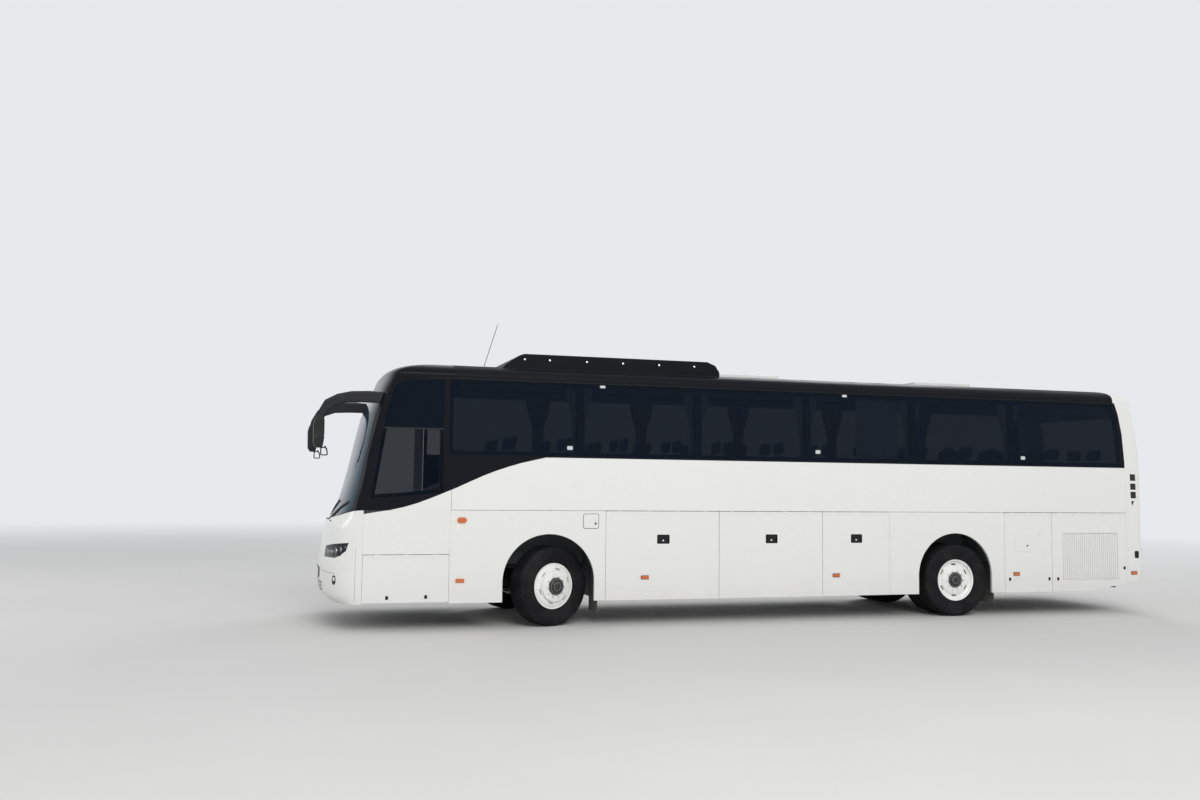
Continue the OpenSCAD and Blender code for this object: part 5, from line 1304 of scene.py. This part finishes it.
class BUS_OT_seats(PieceMaker):
    """Seats: padded cushions, backs and headrests on their frames"""
    bl_idname = "bus.seats"
    bl_label = "Seats"

    def make(self, looks, fittings):
        half = SEAT_W / 2 - 0.006
        cushion = upholster("cushion", pillow((-0.222, -half, 0.352), (0.160, half, 0.443), 6.0), 0.02, 0.008)
        bm = pillow((0.006, -half, 0.462), (0.084, half, 0.99), 6.0)
        bend(bm, lambda x, y, z: (back_lean(x, z), y, z))
        back = upholster("back", bm, 0.02, 0.006)
        bm = pillow((0.006, -0.15, 1.0), (0.086, 0.15, 1.178), 4.0, 5)
        bend(bm, lambda x, y, z: (back_lean(x, z) - 0.004, y, z))
        rest = upholster("headrest", bm, 0.018, 0.005)
        for label, side in (("left", -1), ("right", 1)):
            places = seat_places(side)
            for name, mesh, fill in (("seat_cushions", cushion, 0.7), ("seat_backs", back, 0.75),
                    ("headrests", rest, 0.8)):
                self.pad(f"{name}_{label}", mesh, places, fill)
            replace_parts(self.seat_frames(label, side, places), "seats")
            self.piping(label, places, cushion, back)
        self.driver_seat()

    def pad(self, name, mesh, places, fill):
        bm = bmesh.new()
        copies(bm, mesh, places)
        obj = piece(name, bm, "seat_cloth", smooth=50, tidy=False)
        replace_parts(obj, "seats")

    def seat_frames(self, label, side, places):
        """Pans, back shells, armrests, legs and cross tubes."""
        bm = bmesh.new()
        for at in places:
            block(bm, (-0.21, -0.2, 0.341), (0.15, 0.2, 0.350), at)
            block(bm, (0.235, -0.205, 0.50), (0.243, 0.205, 0.97), at)
            for y in (-0.212, 0.212):
                block(bm, (-0.05, y - 0.006, 0.60), (0.20, y + 0.006, 0.625), at)
        for at in places[::2]:
            aisle = -side * (SEAT_W / 2 - 0.045)
            block(bm, (-0.055, aisle - 0.045, 0.002), (0.055, aisle + 0.045, 0.338), at)
            for x in (-0.15, 0.10):
                rod(bm, at @ Vector((x, -side * 0.2, 0.33)), at @ Vector((x, side * 0.66, 0.33)), 0.008, 8)
        return piece(f"seat_frames_{label}", bm, "trim_plastic", smooth=0)

    def piping(self, label, places, cushion, back):
        """Sewn seams over each cushion and back."""
        seats, backs = (BVHTree.FromPolygons([v.co for v in mesh.vertices], [p.vertices for p in mesh.polygons])
            for mesh in (cushion, back))

        def over_seat(points):
            return [seats.ray_cast(Vector((x, y, 1)), Vector((0, 0, -1)))[0] for x, y in points]

        def over_back(points):
            return [backs.ray_cast(Vector((-1, y, z)), Vector((1, 0, 0)))[0] for y, z in points]

        lines = []
        for y in (-0.125, 0.125):
            lines.append(over_seat([(-0.2 + k * 0.058, y) for k in range(7)]))
            lines.append(over_back([(y, 0.5 + k * 0.078) for k in range(7)]))
        lines.append(over_seat([(-0.09, -0.18 + k * 0.06) for k in range(7)]))
        lines.append(over_back([(-0.18 + k * 0.06, 0.80) for k in range(7)]))
        bm = bmesh.new()
        for at in places:
            for line in lines:
                for a, b in zip(line, line[1:]):
                    if a is not None and b is not None:
                        rod(bm, at @ a, at @ b, 0.0022, 4)
        piece(f"seat_seams_{label}", bm, "rubber_and_shade_lines", smooth=0)

    def driver_seat(self):
        at = Matrix.Translation(bus(DRIVER_X, DRIVER_Y, DRIVER_FLOOR_Z))
        shapes = {
            "driver_cushion": pillow((0.292, -0.228, 0.372), (0.715, 0.228, 0.462), 5.0),
            "driver_back": pillow((0.0, -0.228, 0.485), (0.06, 0.228, 0.95), 5.0),
            "driver_headrest": pillow((0.0, -0.14, 0.97), (0.07, 0.14, 1.155), 4.0, 5)}
        for name in ("driver_back", "driver_headrest"):
            bend(shapes[name], lambda x, y, z: (0.742 + 0.052 * (z - 0.471) / 0.67
                + x * (0.55 + 0.55 * (z - 0.471)), y, z))
        for name, shape in shapes.items():
            self.pad(name, upholster(name + "_foam", shape, 0.012, 0.007), [at], 0.75)
        base = fitting("driver_seat_base", "black_plastic", [at], bar((0.43, -0.14, 0.002), (0.71, 0.14, 0.10)),
            bar((0.45, -0.12, 0.10), (0.69, 0.12, 0.33)), bar((0.30, -0.215, 0.345), (0.75, 0.215, 0.368)),
            bevel=0.006)
        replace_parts(base, "seats")


class BUS_OT_curtains(PieceMaker):
    """Pleated curtains, drawn aside and tied beside each pillar"""
    bl_idname = "bus.curtains"
    bl_label = "Curtains"

    def make(self, looks, fittings):
        for side, label in ((-1, "left"), (1, "right")):
            for n, x in enumerate(PILLARS, 1):
                for way, end in ((-1, "front"), (1, "rear")):
                    self.hang(f"curtain_{label}_{n}_{end}", side, x + way * 0.008, way, 0.182, 6, n + way * 0.3,
                        fittings)
        self.hang("curtain_left_drawn", -1, 4.59, 1, 0.68, 17, 2.1, fittings, tied=False)

    def hang(self, name, side, edge_x, way, width, pleats, phase, fittings, tied=True):
        """One curtain from its edge at edge_x, pleated and, if tied, drawn in below a third of its height."""
        low, high, tie_h, tied_share, inward = 0.752, 1.644, 0.42, 0.44, -0.077
        deep = fittings.pleat_depth / 2
        sheet = side_sheet(side)
        bm = bmesh.new()
        bmesh.ops.create_grid(bm, x_segments=pleats * 8, y_segments=28, size=0.5)
        for v in bm.verts:
            u, h = v.co.x + 0.5, v.co.y + 0.5
            rise = min(1.0, max(0.0, (h - tie_h) / 0.52)) if tied else 1.0
            wide = width * (tied_share + 0.56 * rise * rise * (3 - 2 * rise))
            fold = math.sin(math.tau * pleats * u + phase + 0.7 * math.sin(2.3 * h + phase))
            fold = fold * (0.86 + 0.12 * math.sin(5.1 * u + 1.7 * h + phase))
            x = edge_x + way * wide * u
            v.co = sheet @ Vector((x if side < 0 else -x, low + (high - low) * h, inward + deep * fold * 0.95))
        area = sum(f.calc_area() for f in bm.faces)
        flat = (round(area / (high - low) * 1.02, 3), high - low)
        obj = piece(name, bm, "curtain_cloth", smooth=60, tidy=False)
        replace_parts(obj, "curtains")
        if not tied:
            return
        h = low + tie_h * (high - low)
        ends = [-side * (edge_x + way * x) for x in (-0.003, width * tied_share + 0.003)]
        bands = [((min(ends), h - 0.015, z - 0.0006), (max(ends), h + 0.015, z + 0.0006))
            for z in (inward + 0.0005 - deep, inward - 0.0005 + deep)]
        bands += [((x - 0.0006, h - 0.015, inward - deep), (x + 0.0006, h + 0.015, inward + deep))
            for x in ends]
        tie = fitting(name + "_tie", "curtain_cloth", [sheet], *[bar(*band) for band in bands], smooth=0)
        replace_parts(tie, "curtains")


class BUS_OT_cabin(PieceMaker):
    """Dashboard, luggage racks, and the lamps and air nozzles under them"""
    bl_idname = "bus.cabin"
    bl_label = "Cabin fittings"

    def make(self, looks, fittings):
        dress("dashboard", "black_plastic", 0.006)
        dress("luggage_racks", "trim_plastic", 0.004)
        at = [facing(bus(FIRST_ROW_X + k * ROW_PITCH, side * 0.80, CANT_Z - 0.1045), (0, 0, -1), (0, side, 0))
            for side in SIDES for k in range(ROWS)]
        fitting("reading_lamps", "clear_lens", at, tile(0.10, 0.03, 0.003, 0.01, 3), smooth=0)
        nozzle = [(0.022, 0), (0.022, 0.004), (0.015, 0.006), (0, 0.006)]
        fitting("air_nozzles", "black_plastic", at, *[turned(nozzle, 12, (x, 0, 0)) for x in (-0.11, 0.11)])


# Name, place, size in metres and power in watts
LAMPS = [("Key light", (-3, -22, 15), 14, 3100), ("Nose light", (-20, 4, 7), 7, 450),
    ("Back light", (12, 18, 14), 10, 1300)]
# The camera as solved from the photograph: place on the drawing, then its turn, rise and roll in radians
CAMERA_AT = (-3.461, -15.310, 1.878)
CAMERA_TURN, CAMERA_RISE, CAMERA_ROLL = 0.2888, 0.0747, 0.0119


class BUS_OT_stage(PieceMaker):
    """Floor, light and camera"""
    bl_idname = "bus.stage"
    bl_label = "Floor, light and camera"

    def make(self, looks, fittings):
        bm = bmesh.new()
        bmesh.ops.create_grid(bm, x_segments=2, y_segments=2, size=120)
        mesh = bpy.data.meshes.new("stage_floor")
        bm.to_mesh(mesh)
        bm.free()
        mesh.materials.append(finish("stage_floor"))
        self.stand("stage_floor", mesh)
        self.sky()
        for name, place, size, power in LAMPS:
            lamp = bpy.data.lights.new(name, "AREA")
            lamp.size, lamp.energy = size, power
            self.stand(name, lamp).matrix_world = facing(place, Vector(place) - Vector((0, 0, 1.2)))
        self.camera()

    def stand(self, name, data):
        obj = bpy.data.objects.new(name, data)
        bpy.context.scene.collection.objects.link(obj)
        return obj

    def sky(self):
        """Soft light from all round; the camera and reflections see a plain pale backdrop."""
        world = bpy.context.scene.world or bpy.data.worlds.new("Sky")
        bpy.context.scene.world = world
        nodes = Nodes(world)
        rays = nodes.add("ShaderNodeLightPath").outputs
        camera, glossy, through = (Signal(nodes, rays[f"Is {kind} Ray"]) for kind in
            ("Camera", "Glossy", "Transmission"))
        lights = {at: nodes.add("ShaderNodeBackground", {}, {"Color": colour, "Strength": strength}).outputs[0]
            for at, colour, strength in ((1, (0.90, 0.92, 0.95), 0.7), (2, BACKDROP, 1.0))}
        mix = nodes.add("ShaderNodeMixShader", {}, {0: (camera + glossy + through).within(), **lights})
        nodes.add("ShaderNodeOutputWorld", {}, {"Surface": mix.outputs[0]})

    def camera(self):
        """Camera where the photograph was taken from."""
        lens = bpy.data.cameras.new("Camera")
        lens.lens, lens.sensor_width = 33.0, 36.0
        eye = self.stand("Camera", lens)
        turn, rise, roll = CAMERA_TURN, CAMERA_RISE, CAMERA_ROLL
        ahead = Vector((math.sin(turn) * math.cos(rise), math.cos(turn) * math.cos(rise), math.sin(rise)))
        level = Vector((math.cos(turn), -math.sin(turn), 0))
        above = level.cross(ahead)
        right = level * math.cos(roll) + above * math.sin(roll)
        up = above * math.cos(roll) - level * math.sin(roll)
        turned_eye = Matrix((right, up, -ahead)).transposed().to_4x4()
        eye.matrix_world = Matrix.Translation(bus(*CAMERA_AT)) @ turned_eye
        bpy.context.scene.camera = eye
        bpy.context.scene.view_settings.view_transform = "Standard"


PIECE_OPERATORS = [BUS_OT_panels, BUS_OT_caps, BUS_OT_plain, BUS_OT_wheels, BUS_OT_pulls, BUS_OT_side_fittings,
    BUS_OT_window_fittings, BUS_OT_headlamps, BUS_OT_nose_fittings, BUS_OT_mirrors, BUS_OT_tail_lamps,
    BUS_OT_tail_fittings, BUS_OT_roof_fittings, BUS_OT_seats, BUS_OT_curtains, BUS_OT_cabin, BUS_OT_stage]


class BUS_PT_pieces(bpy.types.Panel):
    """Lists the operators with the sizes and colours that they use"""
    bl_label = "Airport bus"
    bl_idname = "BUS_PT_pieces"
    bl_space_type = "VIEW_3D"
    bl_region_type = "UI"
    bl_category = "Bus"

    def draw(self, context):
        for group in (context.scene.bus_look, context.scene.bus_fittings):
            for key in group.__annotations__:
                self.layout.prop(group, key)
        for operator in PIECE_OPERATORS:
            self.layout.operator(operator.bl_idname)


CLASSES = [BusLook, BusFittings, *PIECE_OPERATORS, BUS_PT_pieces]


def register():
    for cls in CLASSES:
        bpy.utils.register_class(cls)
    bpy.types.Scene.bus_look = PointerProperty(type=BusLook)
    bpy.types.Scene.bus_fittings = PointerProperty(type=BusFittings)


def unregister():
    del bpy.types.Scene.bus_look
    del bpy.types.Scene.bus_fittings
    for cls in reversed(CLASSES):
        bpy.utils.unregister_class(cls)


def main():
    register()
    for operator in PIECE_OPERATORS:
        group, name = operator.bl_idname.split(".")
        getattr(getattr(bpy.ops, group), name)()


if __name__ == "__main__":
    main()
